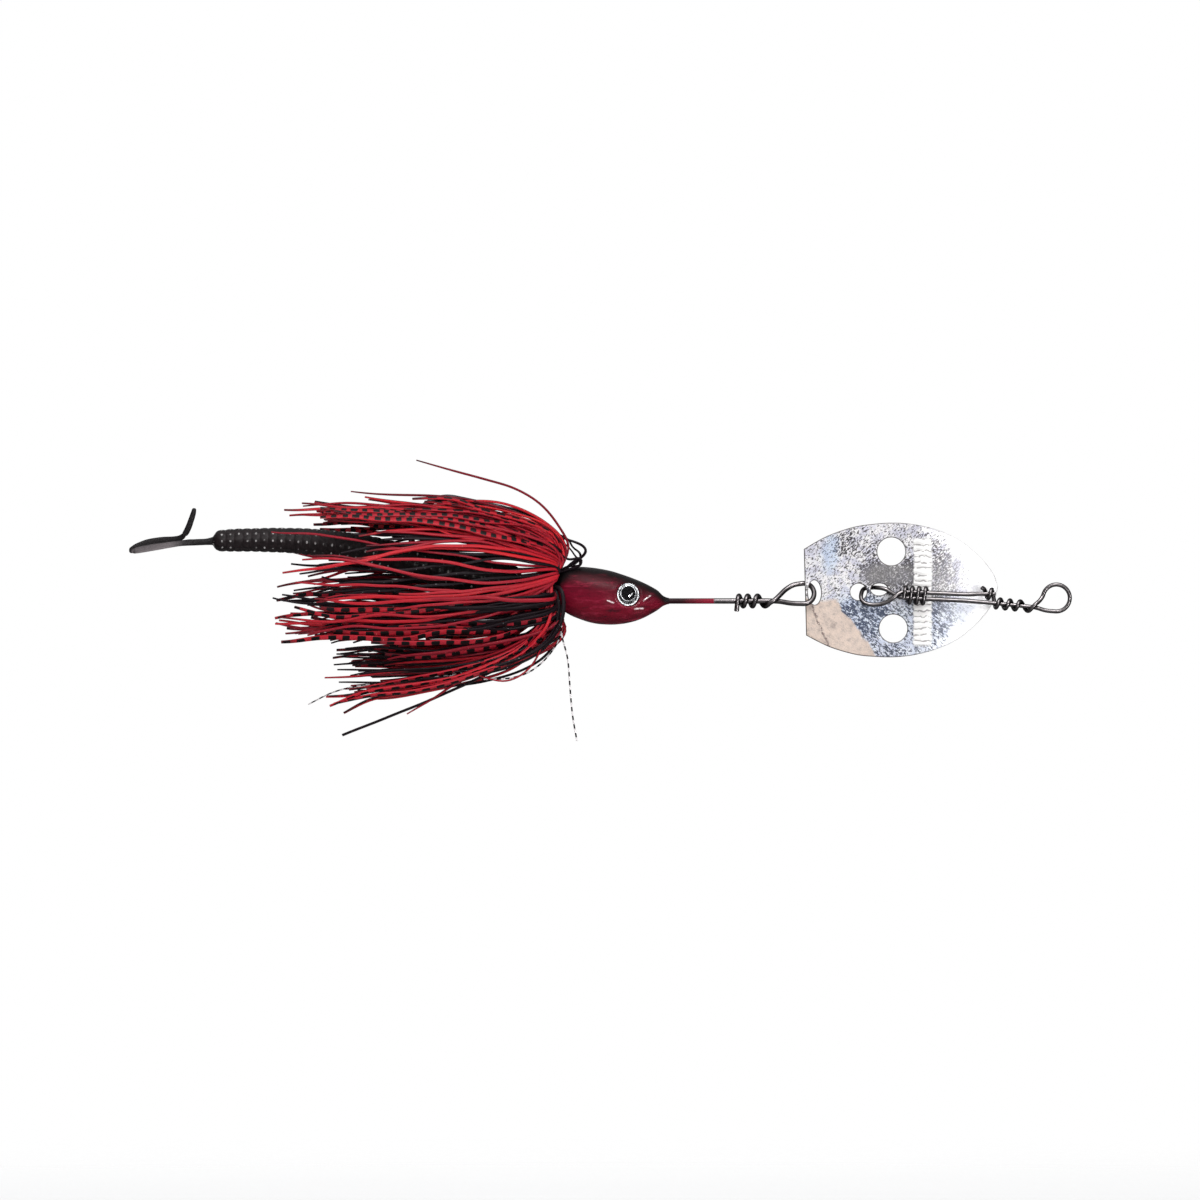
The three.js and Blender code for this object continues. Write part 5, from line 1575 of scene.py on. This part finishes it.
    ("black", 0.75, 0.5, (-21, 7.6), (-27.8, 9.3), (-34.8, 10.1), (-41.8, 10.7),
     (-48.8, 11.1), (-56.8, 10.7), (-64.3, 10.1)),
    ("black", 0.75, 0.3, (-21, 7.3), (-27.8, 8.7), (-34.8, 9.3), (-41.8, 9.7),
     (-48.8, 10), (-55.8, 9.7)),
    ("red", 0.7, 0.75, (-20.9, 5.1), (-24.8, 4.2), (-30.8, 2.9), (-38.3, 1.9),
     (-45.8, 1.6), (-52.8, 1.8)),
    ("red", 0.65, 0.6, (-21.2, 4.4), (-24.8, 2.6), (-30.8, 0.8), (-37.8, -0.1),
     (-45.8, -0.9), (-53.8, -1.8)),
    ("black", 0.75, 0.4, (-21, 8.2), (-27.8, 10.1), (-34.8, 11.5), (-41.8, 12.5),
     (-48.8, 12.9), (-55.8, 12.7)),
    ("black", 0.75, 0.5, (-21.3, 8.7), (-28.8, 10.8), (-36.8, 12.5), (-44.8, 13.4),
     (-52.8, 13.3), (-58.8, 12.9)),
    ("black", 0.7, 0.6, (-21.3, 9.2), (-28.3, 11.5), (-35.8, 13.2), (-43.8, 14.3),
     (-50.8, 14.5), (-57.3, 14.1)),
    ("black", 0.7, 0.3, (-21.5, 9.7), (-28.3, 12.2), (-35.8, 14.1), (-42.8, 15.2),
     (-48.8, 15.4), (-54.8, 15.2)),
    ("red", 0.6, 0.5, (-20.6, 7.6), (-26.3, 10.6), (-32.8, 13.2), (-39.8, 15.2),
     (-46.8, 16.1), (-53.8, 16.2), (-59.3, 15.7)),
    ("red", 0.7, 0.85, (-20.4, 7.9), (-23.8, 11.2), (-28.3, 13.7), (-34.3, 15.7),
     (-41.3, 16.7), (-48.8, 16.6), (-54.8, 16.8)),
    ("red", 0.6, 0.3, (-20.8, 7.1), (-25.3, 9), (-30.8, 10.3), (-37.8, 11.6),
     (-44.8, 11.9), (-52.8, 11.6), (-59.3, 11.2)),
    ("barred", 1.15, 0.7, (-21.55, 11.6), (-24.8, 13.7), (-28.8, 15.2), (-33.8, 17.1),
     (-38.8, 18.7), (-43.8, 19.5), (-47.8, 19.9)),
    ("barred", 1.15, 0.6, (-21, 10.2), (-25.3, 12.6), (-30.8, 14.1), (-36.8, 15.2),
     (-42.8, 16.1), (-49.8, 16.6), (-57.3, 16.7), (-64.3, 17.1)),
    ("barred", 1.15, 0.8, (-21.8, 12.95), (-26.3, 15.3), (-31.8, 17.1), (-36.3, 18.2),
     (-40.8, 19.1), (-44.3, 19.6)),
    ("barred", 1.1, 0.5, (-23.3, 11.6), (-28.8, 13.7), (-34.3, 15.2), (-39.8, 16.7),
     (-45.8, 17.4), (-52.8, 17.9), (-59.8, 17.9), (-67.8, 17.7)),
    ("barred", 1.0, 0.55, (-21, 11.2), (-24.8, 14.1), (-29.8, 15.7), (-35.8, 17.3),
     (-40.8, 17.9), (-45.8, 18.2), (-51.8, 18.6)),
    ("black", 0.6, 0.4, (-20.3, 10.2), (-22.8, 13.7), (-26.8, 17.1), (-31.3, 18.6),
     (-35.8, 18.9), (-42.8, 18.6), (-52.8, 18.2), (-60.8, 18.6), (-69.7, 20.1)),
    ("black", 0.7, 0.4, (-21.8, 8.7), (-26.3, 10.2), (-32.8, 11.6), (-38.8, 12.7),
     (-43.8, 14.1), (-48.8, 14.3), (-52.8, 14.1)),
]
# Rows of SHOWN that are high but keep the plain lie, that have a neighbour beside them,
# and that have no fellow on the left side.
PLAIN_HIGH = (1, 2, 3, 4, 5)
NEIGHBOURED = (1, 2, 5, 7)
UNPAIRED = (0, 1, 3, 16, 18, 19)
# Share of the outer profile by kind, then the change to it and the least depth of high and low rows.
LIE = {"red": 0.99, "barred": 0.985, "black": 0.93}
HIGH_LIE = {"red": (-0.035, 0.42), "barred": (0.04, 0.5), "black": (0.0, 0.3)}
LOW_LIE = {"red": (-0.055, 0.5), "barred": (0.05, 0.6), "black": (-0.02, 0.45)}

# Strands that close the seam over the worm and the throat of the skirt:
# kind, width, tone, share of the outer profile, least depth, then points (x, z).
COVER = [
    ("black", 0.85, 0.4, 0.94, 0.3, (-21.2, 7.9), (-27.8, 9.8), (-34.15, 11.3), (-40.8, 12.4),
     (-45.35, 12.9), (-50.8, 13.2), (-56.55, 13.3), (-61.8, 13.1)),
    ("black", 0.85, 0.5, 0.95, 0.3, (-21.2, 7.7), (-27.8, 9.5), (-34.15, 10.8), (-40.8, 11.9),
     (-45.35, 12.3), (-50.8, 12.5), (-55.8, 12.5)),
    ("red", 0.6, 0.6, 0.99, 0.3, (-20.6, 7.4), (-26.3, 9.95), (-32.8, 11.8), (-39.8, 12.8),
     (-45.8, 13.4), (-51.8, 13.8), (-57.3, 13.9)),
    ("black", 0.75, 0.4, 0.98, 0.62, (-20.8, 2.8), (-20, -0.8), (-20.8, -4.8), (-23.5, -8.55),
     (-28, -11.3), (-33.8, -13.2), (-40.8, -14.8), (-48.8, -15.55)),
    ("black", 0.75, 0.5, 1.0, 0.62, (-21.8, 2.2), (-21, -1.8), (-21.8, -5.55), (-24.7, -9.05),
     (-29.1, -11.6), (-35, -13.3), (-41.8, -14.4)),
    ("black", 0.7, 0.6, 1.0, 0.62, (-22.2, 0.2), (-22.8, -4.3), (-25.5, -8.05), (-30.3, -10.55),
     (-36.8, -12.3), (-43.8, -13.2), (-52.8, -13.8), (-60.8, -14.4)),
    ("barred", 1.1, 0.7, 1.02, 0.62, (-22.8, 2.2), (-22.5, -1.8), (-23.7, -5.8), (-26.6, -9.3),
     (-31, -12.1), (-36.8, -14.4), (-43.8, -16.3), (-50.8, -17.55), (-58.3, -18.55)),
    ("barred", 1.1, 0.6, 1.02, 0.6, (-23.3, 2.2), (-23.5, -2.3), (-25.5, -6.3), (-29.3, -9.3),
     (-34.3, -11.6), (-40.8, -13.6), (-47.8, -15.1), (-55.8, -16.5), (-62.8, -17.55)),
]
# Black strands looped forward over the head: y at the start and end, width, then points (x, z).
LOOPS = [
    (-1.0, -3.2, 0.56, (-19.7867, 6.28), (-18.4, 7.6133), (-16.8, 8.5467), (-15.7867, 9.48),
     (-15.6, 10.28), (-16.32, 11.08), (-17.6533, 11.72), (-19.0933, 12.2), (-20.8, 12.7867),
     (-23.7333, 14.0667)),
    (0.3, -1.6, 0.5, (-19.5733, 6.28), (-17.8133, 7.4533), (-16.64, 8.68), (-16.9067, 9.7467),
     (-17.92, 10.44), (-18.56, 11.1867), (-18.88, 12.04), (-20.2667, 13), (-23.2, 13.8)),
    (-2.0, -3.8, 0.48, (-19.2, 6.28), (-17.5467, 6.7067), (-16.64, 7.2933), (-16.4267, 8.1467),
     (-17.0133, 8.6267), (-18.3467, 8.3067), (-19.5733, 8.4667), (-21.6, 10.6),
     (-24.2667, 12.7333)),
    (-0.6, -2.6, 0.42, (-19.4667, 6.1733), (-17.9733, 6.4933), (-16.9067, 6.9733),
     (-16.8, 7.9333), (-17.8133, 9.0533), (-18.4, 9.96), (-19.4667, 11.1333),
     (-21.6, 12.4667)),
]
# Tinsel: y at the start and end, tuft, then points (x, z).
TINSEL = [
    (-1.5, -1.0, 9, (-20.55, -6.55), (-19.3, -11.3), (-18.8, -17.3), (-18.3, -22.8), (-17.4, -28)),
    (-3.0, -6.0, 9, (-20.6, -6.55), (-22.55, -10.3), (-26.55, -14), (-30.8, -15.4),
     (-36.3, -15.6)),
    (1.5, 2.0, 8, (-21.8, -1.8), (-25.8, -7.8), (-32.8, -12.3), (-45.8, -15.3),
     (-56.8, -16.3), (-65.8, -18.1), (-71.2, -20.7)),
]
# A thin red strand that loops down and back below the skirt: points (x, z).
LOW_LOOP = [
    (-23.3, 0.2), (-23.3, -4.8), (-25.2, -10.9), (-27.7, -14.2), (-31.55, -16),
    (-35.3, -15.4), (-39.8, -13.8),
]
# Height limits that part the filling round the worm: x, z.
BELOW_RIGHT = straight_table([
    (-80, 8.2), (-70, 8.2), (-60, 6.9), (-50, 4.3), (-40, 2.0), (-34, 1.0), (-30, 1.6),
    (-26, 4.2), (-22, 5.4),
])
BELOW_LEFT = straight_table(
    [(-80, 11.0), (-60, 10.0), (-40, 6.0), (-30, 3.8), (-26, 4.4), (-22, 5.4)]
)
ABOVE = straight_table([
    (-80, 16.2), (-62, 15.2), (-56, 12.8), (-50, 9.8), (-40, 8.0), (-36, 8.4), (-30, 9.6),
    (-23, 9.2), (-22.4, 6.2), (-22, 5.0),
])


def flattening(radius):
    return np.interp(radius, [3.2, 8.0], [1.0, SKIRT_FLAT])


def skirt_radial(path):
    out = np.stack([np.zeros(len(path)), path[:, 1] / SKIRT_FLAT, path[:, 2] - SKIRT_Z], 1)
    return out / (np.linalg.norm(out, axis=1)[:, None] + 1e-9)


def round_the_skirt(radial):
    return np.cross([1.0, 0, 0], radial)


def swell(path, centre, factor, inside):
    """Scales the points that are inside about the axis at height centre."""
    out = path.copy()
    out[:, 1] *= factor
    out[:, 2] = centre + (path[:, 2] - centre) * factor
    return np.where(inside[:, None], out, path)


def clear_of_head(path, gap):
    x, y, z = path.T
    centre, tall, wide = head_at(np.clip(x, -27.4, 1.0))
    depth = np.sqrt((y / (wide + gap)) ** 2 + ((z - centre) / (tall + gap)) ** 2)
    return swell(path, centre, 1 / np.maximum(depth, 0.2), (depth < 1) & (x > -22.3))


def clear_of_worm(path, gap):
    x, y, z = path.T
    centre = np.interp(-x, WORM_BACK, [row[1] for row in WORM])
    radius = np.interp(-x, WORM_BACK, [row[2] for row in WORM]) + gap
    depth = np.hypot(y, z - centre)
    inside = (depth < radius) & (x < -28.6)
    return swell(path, centre, radius / np.maximum(depth, 0.3), inside)


def bevelled_strip(thickness, width):
    t, w = thickness / 2, width / 2
    c = 0.32 * min(t, w)
    return [
        (t, -w + c), (t, w - c), (t - c, w), (-t + c, w),
        (-t, w - c), (-t, -w + c), (-t + c, -w), (t - c, -w),
    ]


class Skirt:
    """Strands gathered by tuft and kind; the twelve tufts are 30 degree sectors from +y."""

    def __init__(self):
        self.tubes = {}

    def tuft_of(self, path):
        x, y, z = path[int(len(path) * 0.45)]
        angle = math.degrees(math.atan2(z - SKIRT_Z, y / SKIRT_FLAT)) % 360
        return int(angle // 30) % 12 + 1

    def sway(self, path, wave, flick):
        """Waves a strand sideways and flicks its last 9 mm."""
        length = arc_length(path)
        radial = skirt_radial(path)
        rise = np.clip((length - 6) / 14, 0, 1)
        long_wave, short_wave = RNG.uniform(20, 34), RNG.uniform(9, 15)
        phase1, phase2 = RNG.uniform(0, 6.3), RNG.uniform(0, 6.3)
        swing = np.sin(2 * PI * length / long_wave + phase1)
        swing = swing + 0.35 * np.sin(2 * PI * length / short_wave + phase2)
        tail = np.clip((length - length[-1] + 9) / 9, 0, 1) ** 2
        aside = wave * rise * swing + flick * tail
        lift = 0.35 * wave * rise * np.cos(2 * PI * length / long_wave + phase2)
        return path + round_the_skirt(radial) * aside[:, None] + radial * lift[:, None]

    def add(self, points, kind, width, tone, tuft=None, thickness=None, twist=0.0, step=0.8,
            wave=0.0, flick=0.0, printed=1.0, taper=True):
        path = curve(points, step)
        if wave or flick:
            path = self.sway(path, wave, flick)
        for _ in range(2):
            path = relax(clear_of_worm(clear_of_head(path, 0.38), 0.3))
        radial = skirt_radial(path)
        radial[:, 0] += 0.15
        if twist:
            turn = twist * np.linspace(0, 1, len(path))[:, None]
            radial = radial * np.cos(turn) + round_the_skirt(radial) * np.sin(turn)
        length = arc_length(path)
        scale = np.ones(len(path))
        if kind != "tinsel" and taper:
            scale = np.interp(length[-1] - length, [0, 3, 9, 14], [0.55, 0.7, 0.95, 1.0])
        scale[:4] = np.linspace(0.75, 1, 4)
        tubes = self.tubes.setdefault((tuft or self.tuft_of(path), kind), Tubes())
        section = bevelled_strip(thickness or THICKNESS[kind], width)
        tubes.sweep(path, section, scale, radial, tone, cap=0.12, printed=printed)

    def finish(self, cad):
        """Makes one object per tuft and kind, each replacing the CAD pieces of its kind."""
        left = {tuft: list(names) for tuft, names in cad.items()}
        start, end = to_row((-20.8, 0, SKIRT_Z)), to_row((-33.0, 0, SKIRT_Z))
        for (tuft, kind), tubes in sorted(self.tubes.items()):
            o = tubes.make(f"skirt_{kind}_{tuft:02d}", MATERIALS[kind])
            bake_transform(o)
            mine = [name for name in left[tuft] if kind in name]
            for name in mine:
                left[tuft].remove(name)
            if mine:
                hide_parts(*mine)
        for tuft, rest in left.items():
            if rest:
                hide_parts(*rest)


def collar_lead(kind, first_z):
    """Where a strand leaves the collar: red ones at the hub, others on the bulge. (x, z)."""
    if kind == "red":
        return [(-22.9, 5.0 + RNG.uniform(-0.25, 0.25)), (-21.9, 5.35 + RNG.uniform(-0.2, 0.2))]
    rise = max(-0.97, min(0.97, (first_z - SKIRT_Z) / 7.5))
    if abs(rise) > 0.5:
        stations = [(-22.9, 3.05), (-21.6, 4.4), (-20.5, 6.0)]
    else:
        stations = [(-22.9, 3.05), (-22.5, 4.0), (-22.2, 5.2)]
    return [(x, SKIRT_Z + radius * rise) for x, radius in stations]


def right_side(points, kind, share, least=0.22):
    """Gives a strand's side view its depth on the right side of the skirt."""
    x, z = np.array(collar_lead(kind, points[0][1]) + list(points), float).T
    path = np.column_stack([x, np.zeros(len(x)), z])
    radius = np.interp(arc_length(path), OUT_LENGTH, OUT_LINE[:, 1]) * share
    up = z - SKIRT_Z
    depth = np.sqrt(np.maximum(radius**2 - up**2, (least * radius) ** 2))
    path[:, 1] = -depth * flattening(radius)
    path[0, 1] = -math.sqrt(max(3.05**2 - min(3.0, abs(up[0])) ** 2, 0.1))
    return path


def profile_strand(angle, share, end_x, waver, turn):
    """A strand on the skirt's own profile shrunk to share, drifting round by turn degrees.

    waver: swing in degrees and its phase, radial ripple in mm and its phase.
    """
    swing, swing_phase, ripple, ripple_phase = waver
    bulge = 1 - 0.72 * max(0.0, abs(math.cos(angle * DEG)) - 0.45) / 0.55
    last = len(OUTER) - 1
    points = []
    for i, (x, outer) in enumerate(OUTER):
        radius = SKIRT_HUB + (outer - SKIRT_HUB) * share
        if x > -27:
            front = x + 22.2
            x = -22.2 + (front * share * bulge if front > 0 else front)
            x -= (1 - share) * (1.5 if i else 0)
        if i >= TRAILING:
            start_x = OUTER[TRAILING][0]
            x = start_x + (end_x - start_x) * (i - TRAILING) / (last - TRAILING)
        t = i / last
        drift = turn * min(1.0, max(0.0, (t - 0.25) / 0.6))
        at = (angle + drift + swing * math.sin(swing_phase + 3.1 * t) * t * 2.0) * DEG
        radius += ripple * math.sin(ripple_phase + 7.0 * t) * min(1, t * 2)
        y = radius * math.cos(at) * float(flattening(radius))
        points.append([x, y, SKIRT_Z + radius * math.sin(at)])
    return np.array(points)


def part_round_worm(path, right, above, loose):
    """Keeps a strand above or below the worm."""
    x, _, z = path.T
    ease = loose * np.clip((-22 - x) / 8, 0, 1)
    if above:
        parted = np.maximum(z, ABOVE(x) + ease)
    else:
        parted = np.minimum(z, (BELOW_RIGHT if right else BELOW_LEFT)(x) - ease)
    out = path.copy()
    out[:, 2] = np.where(x < -22, parted, z)
    return out


def unit(value):
    return min(1.0, max(0.0, value))


def add_neighbour(skirt, points, width, tone, share):
    """A red strand lying beside a shown one, a little under."""
    path = right_side(points, "red", share - 0.035)
    s = np.linspace(0, 1, len(path))
    lift = RNG.choice((-1, 1)) * RNG.uniform(0.5, 1.0) * np.sin(np.clip(s[3:] * 1.4, 0, 1) * PI / 2)
    path[3:, 2] += lift + RNG.uniform(-0.9, 0.9) * s[3:]
    path[4:, 0] += np.clip(s[4:] - 0.3, 0, 1) * RNG.uniform(0.5, 7.0)
    tone = max(0.05, tone - RNG.uniform(0.2, 0.5))
    skirt.add(path, "red", width * 0.75, tone, wave=0.5, flick=RNG.uniform(-1.2, 1.2))


def add_fellow(skirt, shown, kind, width, tone, high, printed):
    """A shown strand's fellow on the left side, a little different."""
    path = shown.copy()
    path[:, 1] *= -1
    s = np.linspace(0, 1, len(path))
    path[:, 2] += s * (RNG.uniform(-3.0, -0.4) if high else RNG.uniform(-2.2, 2.2))
    path[2:, 0] += np.clip(s[2:] - 0.35, 0, 1) * RNG.uniform(-5.0, 8.0)
    tone = unit(tone + RNG.uniform(-0.2, 0.1))
    flick = RNG.uniform(-1.2, 1.2)
    skirt.add(path, kind, width, tone, wave=0.5, flick=flick, printed=printed)


def add_shown(skirt):
    for i, (kind, width, tone, *points) in enumerate(SHOWN):
        red, barred = kind == "red", kind == "barred"
        share = LIE[kind] + 0.012 * ((i * 7) % 5 - 2)
        middle_z, (end_x, end_z) = points[len(points) // 2][1], points[-1]
        high, low = middle_z > 9.2, middle_z < -6.8
        # a high or low strand is laid a second time; both times draw from RNG
        path = right_side(points, kind, share)
        if high and i not in PLAIN_HIGH:
            change, least = HIGH_LIE[kind]
            path = right_side(points, kind, share + change, least)
            if red:
                width, tone = min(width, 0.62), min(1.0, tone * 1.05)
        if low:
            change, least = LOW_LIE[kind]
            path = right_side(points, kind, share + change, least)
            if red:
                width, tone = min(width, 0.7), tone * 0.85
            elif barred:
                path[4:, 1] -= 1.1 * np.clip(np.linspace(-0.4, 1.6, len(path) - 4), 0, 1)
        if i in NEIGHBOURED:
            add_neighbour(skirt, points, width, tone, share)
        if red and not high and not low:
            tone *= 0.9
        printed = (1.4 if end_x < -52.8 else 0.95) if barred and high else 1.0
        width *= {"red": 0.9, "barred": 0.92 if high else 0.95, "black": 0.8}[kind]
        shown_tone = unit(tone + RNG.uniform(-0.1, 0.06))
        # the first strand stands out above the skirt, unswayed
        sway = dict(wave=0.22, flick=RNG.uniform(-0.5, 0.5)) if i else {}
        tuft = None if i else 4
        taper = end_z > -24.8
        skirt.add(path, kind, width, shown_tone, tuft, printed=printed, taper=taper, **sway)
        if i not in UNPAIRED and end_z > -21.8 and not (high and red and i % 2):
            add_fellow(skirt, path, kind, width, tone, high, printed)


def gather(angle, share):
    """Turns a filling strand so that the tips gather into a top, a middle and a low bundle.

    Returns its share of the profile, the turn in degrees and the height of its tip.
    """
    up = math.sin(angle * DEG)
    if up > 0.45:
        share = max(share, RNG.uniform(0.78, 0.92))
    radius = SKIRT_HUB + FILL_SPAN * share
    end_z = SKIRT_Z + radius * up
    aim = end_z
    if 8.0 < end_z < 16.2:
        to_top = end_z > 12.0 and radius > 16
        aim = RNG.uniform(16.4, 18.6) if to_top else RNG.uniform(4.0, 8.2)
    elif end_z >= 16.2:
        # flattened along the back
        flat = ((RNG.uniform(17.0, 18.8) - SKIRT_Z) / up - SKIRT_HUB) / FILL_SPAN
        share = min(share, max(0.62, flat))
        radius = SKIRT_HUB + FILL_SPAN * share
        aim = end_z = SKIRT_Z + radius * up
    elif -10.4 < end_z < -7.6:
        aim = end_z + (-1.6 if end_z < -9 else 1.6)
    turn = 0.0
    if aim != end_z:
        aimed = math.degrees(math.asin(max(-1, min(1, (aim - SKIRT_Z) / radius))))
        if math.cos(angle * DEG) <= 0:
            aimed = 180 - aimed
        turn = ((aimed - angle + 180) % 360) - 180
    return share, turn, SKIRT_Z + radius * math.sin((angle + turn) * DEG)


def draw_by_kind(kind, ranges):
    """Draws a number for every kind, so that each strand takes as many, and returns one."""
    return {name: RNG.uniform(*span) for name, span in ranges.items()}[kind]


def add_filling_strand(skirt, kind, number, tuft, shares):
    share = RNG.uniform(*shares)
    angle = 30 * tuft - 15 + RNG.uniform(-15, 15)
    if 137 < angle < 188:
        # the right side hangs open beside the worm
        if number % 3 == 0:
            return
        angle = RNG.uniform(188, 226)
    share, turn, tip_z = gather(angle, share)
    if tip_z < -9 and kind == "black":
        if number % 2:
            return
        kind = "barred" if number % 3 == 0 else "black"
    elif tip_z > 12 and kind == "red" and number % 2:
        kind = "barred"
    if tip_z > 12:
        end_x = RNG.uniform(-70, -55)
    elif tip_z < -9:
        end_x = RNG.uniform(-67, -52)
    else:
        end_x = RNG.uniform(-78 if kind != "black" else -71, -60)
    waver = [RNG.uniform(*span) for span in ((-4, 4), (0, 6), (-0.5, 0.5), (0, 6))]
    width = draw_by_kind(kind, {"red": (0.5, 0.8), "barred": (0.95, 1.15), "black": (0.42, 0.66)})
    tone = draw_by_kind(kind, {"red": (0.1, 0.65), "barred": (0.3, 0.6), "black": (0.0, 1.0)})
    path = curve(profile_strand(angle, share, end_x, waver, turn), 1.2)
    path = part_round_worm(path, math.cos(angle * DEG) < 0, tip_z > 12.0, RNG.uniform(0, 1.3))
    skirt.add(
        path, kind, width, tone, tuft,
        twist=RNG.uniform(-0.9, 0.9), wave=RNG.uniform(0.15, 0.6), flick=RNG.uniform(-1.6, 1.6),
    )


def add_filling(skirt):
    for tuft in range(1, 13):
        right = 120 < 30 * tuft - 15 < 260
        # kind, count, range of the share of the outer profile
        plan = [
            ("black", 15 if right else 10, (0.5, 0.9)),
            ("red", 4 if right else 5, (0.55, 0.94 if right else 1.0)),
            ("barred", 3, (0.6, 0.94 if right else 0.98)),
        ]
        for kind, count, shares in plan:
            for number in range(count):
                add_filling_strand(skirt, kind, number, tuft, shares)


def side_view(lead, points, start_y, end_y):
    """Lead points, then (x, z) points with y running evenly from start_y to end_y."""
    x, z = np.array(points, float).T
    return np.vstack([lead, np.column_stack([x, np.linspace(start_y, end_y, len(x)), z])])


def add_loose_strands(skirt):
    for start_y, end_y, width, *points in LOOPS:
        path = side_view([[-22.9, start_y * 0.8, 5.3]], points, start_y, end_y)
        skirt.add(path, "black", width, 0.5, tuft=4, thickness=width * 0.9, step=0.4)
    root = 262 * DEG
    for start_y, end_y, tuft, *points in TINSEL:
        lead = [
            [-22.6, 3.05 * math.cos(root), SKIRT_Z + 3.05 * math.sin(root)],
            [-21.0, 0.5 * start_y, SKIRT_Z - 5.2],
        ]
        path = side_view(lead, points, start_y, end_y)
        skirt.add(path, "tinsel", width=0.32, tone=0.3, tuft=tuft, twist=2.5)
    path = side_view([[-22.6, -1.6, 0.3], [-21.0, -3.0, -2.6]], LOW_LOOP, -3.0, -8.0)
    skirt.add(path, "red", width=0.4, tone=0.5, tuft=8, thickness=0.3)


def build_skirt():
    skirt = Skirt()
    add_shown(skirt)
    add_filling(skirt)
    add_loose_strands(skirt)
    for kind, width, tone, share, least, *points in COVER:
        path = right_side(points, kind, share, least)
        skirt.add(path, kind, width, tone, wave=0.2, flick=RNG.uniform(-0.5, 0.5))
    cad = {}
    for body, names in frame["record"]["behaviour"]["bodies"].items():
        if body.startswith("tuft_"):
            cad[int(body[5:])] = list(names)
    skirt.finish(cad)


# ------------------------------------------------------------------ stage, metres
STAGE_X = -0.0935
# Lights: name, place from the stage centre, size, watts, seen in reflections.
LIGHTS = [
    ("key", (-0.25, -0.75, 0.75), 0.45, 5.0, False),
    ("fill", (0.55, -0.85, 0.15), 0.6, 4.2, False),
    ("low_fill", (-0.2, -0.6, -0.55), 0.5, 1.6, False),
    ("back", (-0.05, 0.8, 0.6), 0.6, 4.5, False),
    ("glint", (0.14, -0.56, 0.55), 0.15, 1.6, True),
    ("glint_front", (0.34, -0.66, -0.06), 0.09, 1.0, True),
    ("strip", (0.0, -0.45, 0.72), 0.55, 1.9, True),
]


def build_floor():
    """A pale disc that fades to clear towards its edge."""
    g = material("pale_floor")
    place = g.coordinates("Object")
    distance = g.value("ShaderNodeVectorMath", place, output="Value", operation="LENGTH")
    grain = g.noise(place, scale=3.0, detail=4)
    pale = g.ramp(grain, (0.3, (0.90, 0.90, 0.90)), (0.7, (0.94, 0.94, 0.94)))
    diffuse = g.node("ShaderNodeBsdfDiffuse", Color=pale)
    clear = g.node("ShaderNodeBsdfTransparent")
    g.finish(g.node("ShaderNodeMixShader", distance.rise(0.16, 0.62), diffuse, clear))
    bm = bmesh.new()
    bmesh.ops.create_circle(bm, cap_ends=True, segments=96, radius=0.65)
    mesh = bpy.data.meshes.new("floor")
    bm.to_mesh(mesh)
    bm.free()
    mesh.materials.append(g.owner)
    floor = add_object("floor", mesh)
    floor.location = (STAGE_X, 0, -0.135)
    floor.visible_glossy = False


def build_world():
    """White to the camera; a dim studio glow for everything else."""
    world = bpy.data.worlds.new("studio")
    bpy.context.scene.world = world
    g = Graph(world, output="World")
    _, y, z = g.split(g.coordinates("Generated"))
    top = z.rise(0.2, 0.8) * 0.36
    sides = abs(y).rise(0.45, 0.98) * 0.20
    low = (z * -1.0).rise(0.35, 0.9) * 0.10
    glow = (top + sides) + (low + 0.03)
    tint = g.mix(1.0, (0.97, 0.98, 1.0), (1, 1, 1), blend="MULTIPLY")
    studio = g.node("ShaderNodeBackground", tint, glow)
    white = g.node("ShaderNodeBackground", (1, 1, 1), 1.0)
    seen = g.value("ShaderNodeLightPath", output="Is Camera Ray")
    g.finish(g.node("ShaderNodeMixShader", seen, studio, white))


def build_lights():
    centre = Vector((STAGE_X, 0, 0))
    for name, place, size, power, reflected in LIGHTS:
        light = bpy.data.lights.new(name, "AREA")
        light.shape, light.size, light.energy = "SQUARE", size, power
        o = add_object(name, light)
        o.visible_glossy = reflected
        if name.startswith("glint"):
            o.visible_diffuse = False
        o.location = centre + Vector(place)
        o.rotation_euler = (centre - o.location).to_track_quat("-Z", "Y").to_euler()


def build_camera():
    """A long lens looking squarely at the right side."""
    camera = bpy.data.cameras.new("camera")
    camera.sensor_width = 36
    camera.lens = 360
    camera.clip_start, camera.clip_end = 0.05, 50
    o = add_object("camera", camera)
    o.location = Vector(to_row((-12.8, -2400.0, 0.2)))
    o.rotation_euler = (PI / 2, 0, 0)
    bpy.context.scene.camera = o
    bpy.context.scene.view_settings.view_transform = "Standard"


build_head()
build_eyes()
build_nose_wire()
build_tow_link()
build_keeper()
build_hook()
build_band()
build_blade()
build_worm_body()
build_worm_tail()
build_skirt()
build_floor()
build_world()
build_lights()
build_camera()
